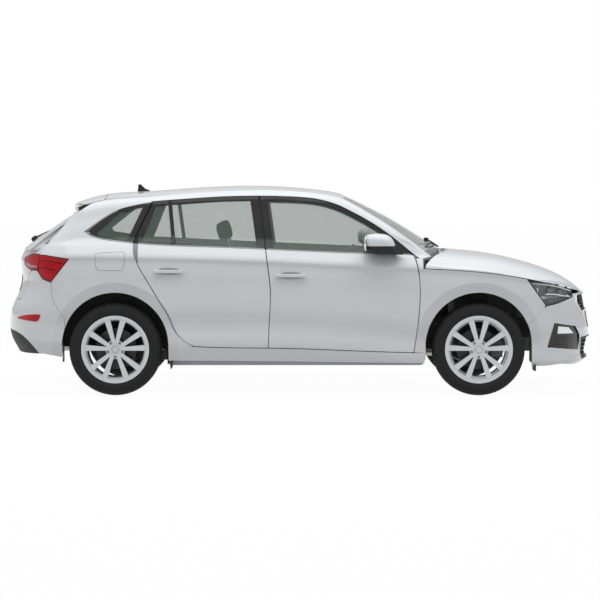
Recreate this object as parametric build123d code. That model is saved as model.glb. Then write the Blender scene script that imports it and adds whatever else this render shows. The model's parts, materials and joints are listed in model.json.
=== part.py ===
from build123d import *
import math
import os

os.makedirs("parts", exist_ok=True)

# A five-door hatchback. Millimetres, +X forward, +Y the car's left, +Z up.
# The origin is on the ground, under the middle of the car.

# ---------------------------------------------------------------- driving dimensions
WHEELBASE = 2649
FRONT_AXLE_X = 1301
REAR_AXLE_X = FRONT_AXLE_X - WHEELBASE
TRACK_FRONT = 1531
TRACK_REAR = 1516
TYRE_RADIUS = 338
TYRE_WIDTH = 215
RIM_RADIUS = 247
HUB_Z = TYRE_RADIUS
HALF_WIDTH = 893
SHUT_GAP = 6
SEAT_GAP = 0.3
LAMP_GAP = 0.6
DOOR_DEPTH = 45
FRAME_DEPTH = 24
TRIM_DEPTH = 100
PILLAR_DEPTH = 82
HINGE_POCKET = 100
PILLAR_INNER = 124
SILL_SEAT = 735
FRAME_EASE = 5
CREASE_EASE = 2.5
PANEL = 22
GLASS_INSET = 6
GLASS = 5
ARCH_RADIUS = 389
ARCH_RISE = 27
FLOOR_Z = 215
FLOOR_THICK = 20
TUNNEL_HEIGHT = 140
LOAD_FLOOR_Z = 420
SPARE_FLOOR_Z = 400
SILL_FLANGE = 110
ROOF_HALF, ROOF_BACK, ROOF_FRONT = 566, -1437, 322
BACK_GLASS_DROP = 36
RAIL_Y, RAIL_HALF = 420, 35
NOSE_BEAM_X = 2040
REAR_PANEL_X, REAR_PANEL_HALF = -2050, 480
REAR_STEP_X = -980
FRAME_FRONT, DOORWAY_FRONT = 905, 907
FRAME, SIDE_BAR, BELT_LIP = 30, 62, 10
HINGE_X = 800
HOOD_THICK = PANEL + 70
COWL_DEPTH = HOOD_THICK + 6
GATE_GAP = 8
SECTION_X, SECTION_SLOPE = -200, -0.0375
FAR = 3000


class Curve:
    """A smooth curve through a few (position, value) points, straight past its ends."""

    def __init__(self, *points):
        points = sorted(points)
        self.x = [p[0] for p in points]
        self.y = [p[1] for p in points]
        n = len(points)
        h = [self.x[i + 1] - self.x[i] for i in range(n - 1)]
        rise = [(self.y[i + 1] - self.y[i]) / h[i] for i in range(n - 1)]
        diagonal, right, bend = [1.0], [0.0], [0.0]
        for i in range(1, n - 1):
            pivot = 2 * (h[i - 1] + h[i]) - h[i - 1] * right[-1]
            bend.append((6 * (rise[i] - rise[i - 1]) - h[i - 1] * bend[-1]) / pivot)
            right.append(h[i] / pivot)
            diagonal.append(pivot)
        self.bend = [0.0] * n
        for i in range(n - 2, 0, -1):
            self.bend[i] = bend[i] - right[i] * self.bend[i + 1]
        self.first = rise[0] - h[0] * self.bend[1] / 6
        self.last = rise[-1] + h[-1] * self.bend[-2] / 6

    def __call__(self, at):
        if at <= self.x[0]:
            return self.y[0] + self.first * (at - self.x[0])
        if at >= self.x[-1]:
            return self.y[-1] + self.last * (at - self.x[-1])
        i = max(k for k in range(len(self.x) - 1) if self.x[k] <= at)
        h = self.x[i + 1] - self.x[i]
        a, b = (self.x[i + 1] - at) / h, (at - self.x[i]) / h
        curved = (a**3 - a) * self.bend[i] + (b**3 - b) * self.bend[i + 1]
        return a * self.y[i] + b * self.y[i + 1] + curved * h * h / 6


def ramp(at, low, high):
    """0 below low, 1 above high and smooth between."""
    t = min(max((at - low) / (high - low), 0.0), 1.0)
    return t * t * (3 - 2 * t)


# ---------------------------------------------------------------- character lines, z over x
shoulder = Curve((-2000, 1006), (-1481, 1014), (-1031, 1006), (-321, 985), (491, 946), (1042, 921),
                 (1448, 886), (1700, 842), (2200, 735))
lower_crease = Curve((-2000, 505), (-900, 500), (-219, 498), (187, 480), (593, 440), (900, 400), (2000, 390))
belt = Curve((-1540, 1190), (-1486, 1150), (-1355, 1126), (-1035, 1097), (-424, 1074), (187, 1046), (828, 1024))
rail = Curve((-1700, 1235), (-1540, 1262), (-1280, 1373), (-1045, 1416), (-839, 1431), (-633, 1445),
             (-427, 1452), (-222, 1452), (-16, 1445), (190, 1416), (292, 1380), (395, 1330), (601, 1208),
             (836, 1022))
roof_line = Curve((-1700, 1396), (-1555, 1445), (-1189, 1484), (-823, 1510), (-458, 1526), (-214, 1524),
                  (30, 1508), (200, 1488), (335, 1456), (456, 1400), (639, 1309), (883, 1163), (1051, 1055), (1200, 958))
back_glass_line = Curve((-2140, 1012), (-1981, 1133), (-1814, 1256), (-1673, 1346), (-1500, 1452))
hood_line = Curve((900, 1066), (1157, 1044), (1371, 1023), (1614, 976), (1736, 943), (1858, 902), (1980, 846),
                  (2041, 807), (2132, 726), (2210, 640))
nose_line = Curve((170, 2020), (222, 2160), (263, 2168), (340, 2176), (430, 2190), (520, 2174), (644, 2155), (726, 2136),
                  (850, 2100), (1600, 2000))
tail_line = Curve((170, -2080), (293, -2126), (368, -2168), (440, -2192), (560, -2190), (644, -2168), (704, -2137),
                  (780, -2108), (883, -2096), (960, -2110), (1032, -2086), (1085, -2045), (1133, -1988),
                  (1200, -1896), (1256, -1822), (1320, -1752), (1400, -1705), (1600, -1680))
waist = Curve((-2200, 868), (-1348, 884), (-700, 891), (0, HALF_WIDTH), (700, 890), (1301, 884), (2200, 868))

NOSE_START, NOSE_POWER = 1480, 2.2
TAIL_START, TAIL_POWER = -1560, 2.4


roof_drop = Curve((-1700, 66), (-1200, 56), (-400, 48), (335, 46), (441, 54), (883, 86), (1051, 95))


def roof_top(x, y):
    """Height of the roof and of the windscreen's plane."""
    return roof_line(x) - roof_drop(x) * (abs(y) / 700) ** 2.2


def back_glass_top(x, y):
    """Height of the back glass's plane."""
    return back_glass_line(x) - 60 * (abs(y) / 700) ** 2.2


def hood_top(x, y):
    """Height of the hood."""
    fall = 45 + 50 * ramp(x, 1400, 2050)
    return hood_line(x) - fall * (abs(y) / 880) ** 2 - 75 * (abs(y) / 880) ** 8


def cant(x):
    """Height where the side begins to turn in under the roof."""
    forward = ramp(x, 850, 1150)
    return (roof_top(x, 620) - 34) * (1 - forward) + (shoulder(x) + 300) * forward


def inset(x, z):
    """How far the side lies inside the waist's half width."""
    crease, low = shoulder(x), lower_crease(x)
    step = z - crease
    below = 22 * ramp(low - z, -150, 0) - 14 * ramp(low - z, 0, 110) + 52 * ramp(low - z, 100, 330)
    swell = 6 * ramp(-step, 60, 10)
    undercut = 14 * ramp(-step, 0, 42) * (1 - 0.6 * ramp(-step, 45, 150))
    ledge = 44 * ramp(step, -10, 95)
    lean = 0.44 * max(z - crease - 70, 0) + 12 * ramp(z - crease, 70, 100)
    over = max(z - cant(x), 0)
    turn_in = min(0.035 * over**2, 250 + over)
    return below + swell + undercut + ledge + lean + turn_in


def side_rows(x):
    """Heights that follow the character lines."""
    crease, low = shoulder(x), lower_crease(x)
    top = cant(x)
    rows = [170 + (low - 170) * k / 6 for k in range(6)]
    rows += [low + (crease - 60 - low) * k / 4 for k in range(4)]
    rows += [crease + step for step in (-60, -44, -28, -13, 0, 12, 28, 48)]
    rows += [crease + 66 + (top - crease - 66) * k / 5 for k in range(6)]
    rows += [top + step for step in (10, 20, 30, 44, 62, 90)]
    return rows


def hull_point(part, along, row):
    """A point of the side: part -1 is the tail corner, 0 the side and 1 the nose corner."""
    x = {-1: TAIL_START, 0: TAIL_START + (NOSE_START - TAIL_START) * along, 1: NOSE_START}[part]
    z = side_rows(x)[row]
    factor = 1.0
    if part:
        start, power, end = (TAIL_START, TAIL_POWER, tail_line) if part < 0 else (NOSE_START, NOSE_POWER, nose_line)
        turn = along * math.pi / 2
        share = math.sin(turn) ** (2 / power)
        factor = math.cos(turn) ** (2 / power) if along < 1 else 0.0
        for _ in range(4):
            x = start + (end(z) - start) * share
            z = side_rows(x)[row]
    return Vector(x, (waist(x) - inset(x, z)) * factor, z)


SIDE_STEP = 190
CORNER_STEPS = 8
ROWS = len(side_rows(0))
CREASE_ROW = 13


def side_columns(back, front):
    """Columns of the left side, running forward, from behind back to ahead of front."""
    steps = round((NOSE_START - TAIL_START) / SIDE_STEP)
    shares = [k / steps for k in range(steps + 1)]
    place = [TAIL_START + share * (NOSE_START - TAIL_START) for share in shares]
    margin = 1.5 * SIDE_STEP
    return [(0, share) for share, x in zip(shares, place) if back - margin <= x <= front + margin]


def tail_columns(last=0):
    """Columns round the rear left corner, from the middle of the tail, or short of it, to the side."""
    return [(-1, 1 - k / CORNER_STEPS) for k in range(last, CORNER_STEPS)]


def nose_columns(last=0):
    """Columns round the front left corner, from the side to the middle of the nose, or short of it."""
    return [(1, k / CORNER_STEPS) for k in range(1, CORNER_STEPS + 1 - last)]


def places_along(rows):
    """Each row's share of the way up the side, the same for every column, so that creases run true."""
    line = [hull_point(0, 0.5, row) for row in rows]
    way = [0.0]
    for low, high in zip(line, line[1:]):
        way.append(way[-1] + (high - low).length)
    return [part / way[-1] for part in way]


def lines_of(columns, depth, rows, mirrored):
    """Upright lines of points, depth inside the skin, carried on over the right side if mirrored."""
    grid = [[hull_point(part, along, row) for row in rows] for part, along in columns]
    middle = len(grid[0]) // 3
    lines = []
    for i, line in enumerate(grid):
        direction = grid[min(i + 1, len(grid) - 1)][middle] - grid[max(i - 1, 0)][middle]
        if mirrored and columns[i][0] and columns[i][1] == 1:
            direction = Vector(0, -columns[i][0], 0)
        outward = Vector(-direction.Y, direction.X, 0).normalized()
        lines.append([point - outward * depth for point in line])
    if mirrored:
        lines = lines if columns[-1][1] == 1 and columns[-1][0] else lines[::-1]
        lines += [[Vector(p.X, -p.Y, p.Z) for p in line] for line in lines[-2::-1]]
    return lines


def skin(columns, depth, rows=range(ROWS), mirrored=False):
    """A smooth face through the columns, depth inside the car's skin."""
    places = places_along(rows)
    lines = lines_of(columns, depth, rows, mirrored)
    return Shell.make_loft([Wire([Edge.make_spline(line, parameters=places)]) for line in lines]).faces()[0]


def corner_wall(columns, near, far, rows=range(ROWS)):
    """The skin of the nose or tail as a wall between two depths."""
    wires = []
    places = places_along(rows)
    down = [1 - place for place in places[::-1]]
    for out, back in zip(lines_of(columns, near, rows, True), lines_of(columns, far, rows, True)):
        wires.append(Wire([Edge.make_spline(out, parameters=places), Edge.make_line(out[-1], back[-1]),
                           Edge.make_spline(back[::-1], parameters=down), Edge.make_line(back[0], out[0])]))
    return Solid.make_loft(wires)


def nose_wall(near, far):
    return corner_wall([(1, 0)] + nose_columns(), near, far)


def tail_wall(near, far):
    return corner_wall(tail_columns() + [(0, 0)], near, far)


def side_block(depth, back=-FAR, front=FAR, tail=None, nose=None, thick=FAR):
    """What lies to the right of the left side's skin, depth inside it, over a stretch of the car."""
    columns = side_columns(back, front)
    if tail is not None:
        columns = tail_columns(tail) + columns
    if nose is not None:
        columns = columns + nose_columns(nose)
    return Solid.extrude(skin(columns, depth), Vector(0, -thick, 0))


def nose_block(depth, back, rows):
    """Everything behind the skin of the nose and the sides behind it, depth inside it."""
    columns = side_columns(back, NOSE_START) + nose_columns()
    return Solid.extrude(skin(columns, depth, rows, mirrored=True), Vector(-FAR, 0, 0))


def top_block(height, back, front, depth, thick=FAR, step=110, half=900):
    """What lies under a smooth top, height(x, y) less depth, from back to front."""
    count = max(4, round((front - back) / step))
    wires = []
    for i in range(count + 1):
        x = back + (front - back) * i / count
        shares = [k / 16 for k in range(17)]
        across = [half * (2 * share - 1) for share in shares]
        line = [Vector(x, y, height(x, y) - depth) for y in across]
        wires.append(Wire([Edge.make_spline(line, parameters=shares)]))
    return Solid.extrude(Shell.make_loft(wires).faces()[0], Vector(0, 0, -thick))


def area(*runs):
    """A face in the XZ plane. Each run is a corner, a line or a smooth curve, and lines join the runs."""
    edges = []
    for i, run in enumerate(runs):
        points = [Vector(x, 0, z) for x, z in run]
        if len(points) > 1:
            edges.append(Edge.make_line(*points) if len(points) == 2 else Edge.make_spline(points))
        x, z = runs[(i + 1) % len(runs)][0]
        if (Vector(x, 0, z) - points[-1]).length > 0.01:
            edges.append(Edge.make_line(points[-1], Vector(x, 0, z)))
    return Face(Wire(edges))


def through_side(face, near=0, far=1200):
    """The left side's column of space over a face in the XZ plane."""
    return Solid.extrude(face.moved(Location((0, near, 0))), Vector(0, far - near, 0))


def area_through(*runs):
    """The full width's column of space over an outline in the XZ plane."""
    return through_side(area(*runs), -1200, 1200)


def flat(corners):
    """A face with straight sides between corners."""
    return Face(Wire([Edge.make_line(a, b) for a, b in zip(corners, corners[1:] + corners[:1])]))


def through_end(points, x_from, x_to):
    """The column of space along X over an outline of (y, z) corners."""
    return Solid.extrude(flat([Vector(x_from, y, z) for y, z in points]), Vector(x_to - x_from, 0, 0))


def through_top(points, z_from, z_to):
    """The column of space along Z over an outline of (x, y) corners."""
    return Solid.extrude(flat([Vector(x, y, z_from) for x, y in points]), Vector(0, 0, z_to - z_from))


def both(points):
    """An outline given for y > 0, with its mirror image."""
    return points + [(-y, z) for y, z in points[::-1]]


def over(curve, start, end, shift=0, count=8):
    """Points along a line given as height over x."""
    spots = [start + (end - start) * k / count for k in range(count + 1)]
    return [(x, curve(x) + shift) for x in spots]


def up(curve, start, end, shift=0, count=8):
    """Points along a line given as x over height."""
    spots = [start + (end - start) * k / count for k in range(count + 1)]
    return [(curve(z) + shift, z) for z in spots]


def block(x0, x1, y0, y1, z0, z1):
    """A box between two corners."""
    return Pos((x0 + x1) / 2, (y0 + y1) / 2, (z0 + z1) / 2) * Box(abs(x1 - x0), abs(y1 - y0), abs(z1 - z0))


def section(*levels):
    """Points of the side's section at SECTION_X, given as (height, depth below the skin)."""
    return [(waist(SECTION_X) - inset(SECTION_X, z) - depth, z) for z, depth in levels]


def beam(points, back=-2200, front=1200):
    """A bar along the side with a constant (y, z) outline that falls with the shoulder line."""
    slope = Vector(1, 0, SECTION_SLOPE)
    start = slope * (back - SECTION_X)
    corners = [Vector(SECTION_X, y, z) + start for y, z in points]
    return Solid.extrude(flat(corners), slope * (front - back))


def inboard(*levels):
    """Everything further in than a depth below the skin, which may change with height."""
    line = section(*levels)
    return beam([(-200, line[0][1])] + line + [(-200, line[-1][1])])


def tube(start, end, radius, bore=0):
    """A round bar or tube between two points."""
    start, end = Vector(*start), Vector(*end)
    plane = Plane(origin=start, z_dir=end - start)
    bar = plane * Pos(0, 0, (end - start).length / 2) * Cylinder(radius, (end - start).length)
    if bore:
        bar -= plane * Pos(0, 0, (end - start).length / 2) * Cylinder(bore, (end - start).length * 1.01)
    return bar


def wheel_round(x, z, y0, y1, radius):
    """A cylinder along Y."""
    return Pos(x, (y0 + y1) / 2, z) * Rot(90, 0, 0) * Cylinder(radius, abs(y1 - y0))


def mirrored(shape):
    """The same piece on the right."""
    return mirror(shape, Plane.XZ)


def write(name, *pieces):
    """Writes a node's solids."""
    solids = [solid for piece in pieces for solid in piece.solids()]
    export_step(Compound(solids), f"parts/{name}.step")
    print(name, len(solids), "solids")


# ---------------------------------------------------------------- shut lines
front_shut = Curve((321, 827), (420, 843), (527, 857), (633, 867), (740, 872), (811, 870), (903, 863),
                   (946, 854), (989, 843), (1028, 825))
middle_shut = Curve((356, -232), (491, -227), (704, -217), (811, -219), (903, -230), (1067, -252), (1447, -303))
rear_shut = Curve((363, -778), (420, -865), (559, -948), (701, -1031), (847, -1118), (946, -1176), (1031, -1209),
                  (1113, -1212), (1270, -1150), (1414, -1085))
door_bottom = Curve((-778, 362), (-626, 355), (-118, 348), (390, 330), (800, 317))
sill_bottom = Curve((-968, 256), (-321, 253), (289, 246), (928, 239))


def leading(shut, low, high, shrink):
    """A door's leading edge, eased back where the door swells at the shoulder."""
    line = up(shut, low, high, -shrink)
    return [(x - CREASE_EASE * ramp(z, 860, 930) * (1 - ramp(z, 1000, 1060)), z) for x, z in line]


def front_door_area(shrink):
    """The front door's outline, smaller all round by shrink."""
    top = [(x, z - shrink) for x, z in over(rail, 800, -295 + shrink, -shrink * 0.3, 14)]
    rear = up(middle_shut, top[-1][1] - 1, 352 + shrink, shrink)
    rear = [(x + FRAME_EASE * ramp(z, 1050, 1400), z) for x, z in rear]
    return area(leading(front_shut, 322 + shrink, 1008 - shrink, shrink), top, rear,
                over(door_bottom, middle_shut(352) + 2 * shrink, 820 - 2 * shrink, shrink))


def rear_door_area(shrink):
    """The rear door's outline, smaller all round by shrink."""
    top = over(rail, -310 - shrink, -1082 + 1.5 * shrink, -shrink, 8)
    rear = up(rear_shut, top[-1][1] - 4, 372 + shrink, 1.2 * shrink, 16)
    rear = [(x + FRAME_EASE * ramp(z, 1050, 1300), z) for x, z in rear]
    return area(leading(middle_shut, 357 + shrink, top[0][1] - 1, shrink), top, rear,
                over(door_bottom, rear_shut(366) + 3 * shrink, middle_shut(356) - 2 * shrink, shrink))


def doorway_area(grow):
    """Both doors' outline in one, larger all round by grow, and open ahead of the front door."""
    top = over(rail, 800, -1082 - 1.5 * grow, grow, 20)
    return area([(DOORWAY_FRONT, 318)], [(DOORWAY_FRONT, 1003)], [(868, 1003)], top,
                up(rear_shut, top[-1][1] - 4, 372 - grow, -1.2 * grow, 16),
                over(door_bottom, rear_shut(366) - grow, 820, -grow))


def front_window_area(shrink):
    """The front door's glass opening."""
    lift = FRAME + shrink
    top = over(rail, 690 - shrink, -300 + SIDE_BAR + shrink, -lift, 12)
    return area([(690 - shrink, belt(690) + BELT_LIP + shrink)], top,
                [(middle_shut(1085) + SIDE_BAR + shrink, belt(-190) + BELT_LIP + shrink)])


def rear_window_area(shrink):
    """The rear door's glass opening."""
    lift = FRAME + shrink
    return area([(middle_shut(1085) - SIDE_BAR - shrink, belt(-310) + BELT_LIP + shrink)],
                over(rail, -305 - SIDE_BAR - shrink, -1046 + shrink, -lift, 8),
                [(-1160 + shrink, belt(-1160) + BELT_LIP + shrink)])


def quarter_window_area(shrink):
    """The fixed window behind the rear door."""
    return area([(-1262 - shrink, belt(-1262) + 12 + shrink)], [(-1152 - shrink, rail(-1152) - 32 - shrink)],
                [(-1300, rail(-1300) - 28 - shrink)], [(-1490 + 1.6 * shrink, 1188)], [(-1470, 1163 + shrink)])


# ---------------------------------------------------------------- sides of the body
roof_outer = top_block(roof_top, -2000, 1200, 0)
DOOR_LEVELS = [(0, DOOR_DEPTH), (1030, DOOR_DEPTH), (1070, FRAME_DEPTH), (1250, FRAME_DEPTH), (1440, FRAME_DEPTH),
               (1500, FRAME_DEPTH + 40)]
PILLAR_LEVELS = [(0, PILLAR_DEPTH), (1020, PILLAR_DEPTH), (1075, FRAME_DEPTH + 10), (1250, FRAME_DEPTH + 10),
                 (1440, FRAME_DEPTH + 10), (1500, FRAME_DEPTH + 20)]
INNER_LEVELS = [(0, PILLAR_INNER), (1020, PILLAR_INNER), (1100, 85), (1250, 70), (1440, 90), (1500, 100)]
TAILGATE = [(500, 690), (520, 760), (560, 870), (630, 912), (712, 912), (716, 1004), (700, 1040), (655, 1133),
            (612, 1300), (596, 1400), (590, 1520)]


def tailgate_outline(grow):
    """The tailgate's outline seen from behind."""
    return both([(y + grow, z - (grow if z == TAILGATE[0][1] else 0)) for y, z in TAILGATE])


screen_edge = Curve((322, 592), (600, 640), (957, 706), (1060, 712))


def screen_outline(shrink):
    """The windscreen's outline in plan."""
    left = [(x, screen_edge(x) - shrink) for x in (ROOF_FRONT + shrink, 450, 600, 750, 900, 955 - shrink)]
    base = [(1049 - shrink - 96 * (y / 700) ** 2, y) for y in (600, 450, 300, 150)]
    half = left + base
    return half + [(1049 - shrink, 0)] + [(x, -y) for x, y in half[::-1]]


def side_frame():
    """The left body side: pillars, sill, cant rail and rear quarter."""
    rear_top = over(back_glass_line, -1960, -1520, -BACK_GLASS_DROP, 4)
    whole = area([(-2060, 970)], [(-1910, 935)], [(-1860, 850)], [(-1817, 830)], [(-1806, 700)], [(-1716, 560)],
                 [(-1716, 300)], [(-968, 300)], over(sill_bottom, -968, FRAME_FRONT), [(FRAME_FRONT, 310)],
                 [(FRAME_FRONT, 1005)], [(955, 1012)], [(1000, 1050)], [(1000, 1600)], [(-1440, 1600)],
                 [(-1440, rear_top[-1][1] + 20)], rear_top[::-1], [(-2060, 1050)])
    frame = through_side(whole, 300)
    quarter_inner = [(-1559, -10), (-1559, 762), (-1760, 715), (-1900, 620), (-1990, 480), (-1990, -10)]
    pillar_inner = [(-1559, -10), (-1559, 600), (-1700, 575), (-1800, 540), (-1990, 400), (-1990, -10)]
    frame -= through_top(quarter_inner, 0, 1040)
    frame -= through_top(pillar_inner, 1039, 1700)
    frame -= inboard(*INNER_LEVELS) & block(-1560, 1300, -300, 1200, 0, 1700)
    frame -= block(-1560, 1300, 300, SILL_SEAT, 0, FLOOR_Z + SILL_FLANGE + 5)
    pillar_face = section(*PILLAR_LEVELS)
    frame -= through_side(doorway_area(SHUT_GAP / 2), 200) & beam(pillar_face + [(1300, 1500), (1300, 0)])
    pocket = section((0, HINGE_POCKET), (1000, HINGE_POCKET))
    frame -= block(HINGE_X - 15, DOORWAY_FRONT, 200, 1200, 330, 1000) & beam(pocket + [(1300, 1000), (1300, 0)])
    for outline in (front_door_area(38), rear_door_area(38), quarter_window_area(0), tail_lamp_area(0)):
        frame -= through_side(outline, 200)
    frame -= block(-2000, ROOF_FRONT, -10, ROOF_HALF + SEAT_GAP, 1200, 1700)
    frame -= through_top(screen_outline(3 - SEAT_GAP), 900, 1700)
    frame -= through_end(tailgate_outline(GATE_GAP), -FAR, -1440)
    frame -= wheel_round(REAR_AXLE_X, HUB_Z + ARCH_RISE, 200, 1200, ARCH_RADIUS)
    frame -= block(REAR_AXLE_X - ARCH_RADIUS, REAR_AXLE_X + ARCH_RADIUS, 200, 1200, 100, HUB_Z + ARCH_RISE)
    frame &= side_block(0, -1900, 1000, tail=2)
    frame &= roof_outer
    near, far = DOOR_DEPTH + SEAT_GAP, PILLAR_DEPTH + 8
    buffer_space = beam(section((0, near), (1030, near)) + section((1030, far), (0, far)))
    for x, z in ((-202, 600), (-200, 800), (-1012, 705), (-1085, 840)):
        frame += block(x - 9, x + 9, 300, 1200, z - 20, z + 20) & buffer_space
    return frame


def tail_lamp_area(shrink):
    """The tail lamp seen from the side."""
    return area([(-2120, 980)], [(-1977, 1026 - shrink)], [(-1865, 1026 - shrink)],
                [(-1676 - 1.5 * shrink, 1000 - shrink)], [(-1817, 824 + 2 * shrink)], [(-1886 - shrink, 849 + shrink)],
                [(-1926, 911 + shrink)], [(-2120, 925 + shrink)])


# ---------------------------------------------------------------- doors
MIRROR_X, MIRROR_Z = 565, 1108


def door(outline, window, trim, handle_x, handle_z):
    """A left door: skin and window frame, an inner lining and an outer handle."""
    xs = [v.X for v in outline(SHUT_GAP / 2).vertices()]
    low, high = min(xs), max(xs)
    whole = through_side(outline(SHUT_GAP / 2), 200)
    whole -= inboard(*DOOR_LEVELS)
    trim_face = section((0, DOOR_DEPTH - 8), (1030, DOOR_DEPTH - 8)) + section((1030, TRIM_DEPTH), (0, TRIM_DEPTH))
    whole = whole + (through_side(trim, 200) & beam(trim_face))
    whole -= through_side(window(0), 200)
    whole &= side_block(0, low, high)
    return whole + handle(handle_x, handle_z)


def handle(x, z):
    """An outer door handle standing on the door's skin."""
    y = waist(x) - inset(x, z)
    grip = Pos(x, y + 26, z) * Box(210, 14, 24)
    grip = fillet(grip.edges(), 5)
    for end in (-88, 88):
        grip += Pos(x + end, y + 5, z) * Box(30, 44, 20)
    return grip


def glass(window, low, high):
    """A left side window, seated in its opening."""
    return through_side(window(SEAT_GAP), 200) & side_block(GLASS_INSET, low, high, thick=GLASS)


front_trim = area([(735, 440)], [(735, 1020)], over(belt, 700, -150, -16, 4), [(-178, 1000)], [(-165, 440)])
rear_trim = area([(-300, 450)], [(-300, 1040)], over(belt, -330, -1110, -16, 4), [(-1120, 1010)], [(-1050, 880)],
                 [(-930, 690)], [(-800, 450)])


def mirror_left():
    """The left door mirror on its foot."""
    shell = Pos(MIRROR_X, 930, MIRROR_Z) * Box(200, 190, 150)
    shell = fillet(shell.edges(), 45)
    foot = Pos(640, 842, 1062) * Box(110, 70, 34)
    return shell + foot - side_block(-SEAT_GAP, 400, 800)


pieces = {
    "door_front": door(front_door_area, front_window_area, front_trim, -70, 878),
    "door_rear": door(rear_door_area, rear_window_area, rear_trim, -955, 908),
    "door_glass_front": glass(front_window_area, -300, 700),
    "door_glass_rear": glass(rear_window_area, -1160, -300),
    "mirror": mirror_left(),
    "side_frame": side_frame(),
}
for name, piece in pieces.items():
    write(name + "_left", piece)
    write(name + "_right", mirrored(piece))
quarter_glass = glass(quarter_window_area, -1500, -1150)

# ---------------------------------------------------------------- roof, screens and cowl
roof_plan = [(ROOF_BACK, -ROOF_HALF), (ROOF_FRONT, -ROOF_HALF), (ROOF_FRONT, ROOF_HALF), (ROOF_BACK, ROOF_HALF)]
write("roof", through_top(roof_plan, 900, 1700) & top_block(roof_top, -1500, 400, 0, PANEL))
write("windscreen", through_top(screen_outline(3), 900, 1700) & top_block(roof_top, 200, 1150, 4, 8))
write("quarter_windows", quarter_glass, mirrored(quarter_glass))
fin = Polyline((-1240, 1440), (-1229, 1538), (-1211, 1536), (-1177, 1504), (-1143, 1492), (-1143, 1440), close=True)
antenna = extrude(Plane.XZ * make_face(fin), 12, both=True)
antenna -= top_block(roof_top, -1500, -900, -SEAT_GAP)
write("antenna", antenna)


def hood_outline(grow=0):
    """The hood in plan, from its curved rear edge to past the nose."""
    rear = [(1118 + grow - 150 * (y / 760) ** 2.2, y) for y in (0, 200, 400, 550, 680, 780, 950)]
    return rear + [(2400, 950), (2400, -950)] + [(x, -y) for x, y in rear[:0:-1]]


HOOD_GAP = SHUT_GAP / 2
side_space = area([(700, 1300)], over(shoulder, 700, 1655, HOOD_GAP), [(1791, 823)], [(1885, 808)], [(1979, 781)],
                  [(2016, 768)], [(2060, 752)], [(2100, 741)], [(2150, 736)], [(2300, 736)], [(2300, 1300)])
upper_rows = range(CREASE_ROW - 4, ROWS)
hood = through_side(side_space, -1200, 1200) & through_top(hood_outline(), 600, 1300)
hood &= top_block(hood_top, 800, 2250, 0, HOOD_THICK)
hood &= nose_block(0, 800, upper_rows)
write("hood", hood)
cowl_plan = [(1054 - 96 * (y / 700) ** 2, y) for y in (-640, -450, -300, -150, 0, 150, 300, 450, 640)]
cowl_plan += [(1150 - 150 * (abs(y) / 760) ** 2.2, y) for y in (640, 450, 300, 150, 0, -150, -300, -450, -640)]
cowl = through_top(cowl_plan, 900, 1100) & top_block(hood_top, 800, 1300, COWL_DEPTH, 14)
write("cowl", cowl)

# ---------------------------------------------------------------- fenders, bumpers, grille and lamps
HEADLAMP = [(1664, 829), (1791, 818), (1885, 802), (1979, 774), (2013, 762), (2012, 711), (2000, 704), (1885, 668),
            (1801, 653), (1788, 661)]


def fender():
    """The left front fender."""
    g = SHUT_GAP / 2
    toe = FRAME_FRONT + SEAT_GAP
    outline = area(up(front_shut, 322, 1000, g), [(872, 1003)], [(893, 1003)], over(shoulder, 893, 1648, -g),
                   [(1663.5, 828.6)], [(1787.5, 660.6)], [(1787, 639)], [(1701, 557)], [(1639, 496)],
                   [(toe, 262)], [(toe, 318 + SEAT_GAP)], [(825 + g, 318 + SEAT_GAP)])
    panel = through_side(outline, 200) - wheel_round(FRONT_AXLE_X, HUB_Z + ARCH_RISE, 200, 1200, ARCH_RADIUS)
    panel -= block(FRONT_AXLE_X - ARCH_RADIUS, FRONT_AXLE_X + ARCH_RADIUS, 200, 1200, 100, HUB_Z + ARCH_RISE)
    return panel & side_block(0, 800, 1480, nose=3, thick=PANEL + 8)


fender_left = fender()
write("front_fenders", fender_left, mirrored(fender_left))
bumper_side = area([(2300, 730)], [(2016, 730)], [(2016, 707)], [(2002, 700)], [(1885, 664)], [(1801, 649)],
                   [(1788, 638)], [(1702, 556)], [(1640, 495)], [(1640, 218)], [(1801, 213)], [(1915, 222)],
                   [(2102, 196)], [(2300, 196)])
bumper = through_side(bumper_side, -1200, 1200)
bumper -= wheel_round(FRONT_AXLE_X, HUB_Z + ARCH_RISE, -1200, 1200, ARCH_RADIUS)
bumper -= block(FRONT_AXLE_X, FRONT_AXLE_X + ARCH_RADIUS, -1200, 1200, 100, HUB_Z + ARCH_RISE)
upper_grille = both([(430, 600), (500, 668), (470, 716)])
lower_grille = both([(420, 250), (470, 400)])
bumper -= through_end(upper_grille, 1900, 2400)
bumper -= through_end(lower_grille, 1900, 2400)
FOG = [(1860, 526), (2036, 493), (2072, 428), (2082, 312), (1840, 345), (1807, 346)]
fog_pocket = area(*[[point] for point in FOG])
fog_space = through_side(fog_pocket, 480, 1200)
bumper -= fog_space
bumper -= mirrored(fog_space)
bumper &= nose_wall(0, PANEL)
for side in (-1, 1):
    bumper += block(NOSE_BEAM_X + SEAT_GAP, 2156, side * 240, side * 260, 430, 470)
write("front_bumper", bumper)


def shrunk(points, by):
    """An end outline made smaller about its middle height."""
    middle = sum(z for _, z in points) / len(points)
    return [(y - math.copysign(by, y), z - math.copysign(by, z - middle)) for y, z in points]


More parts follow.
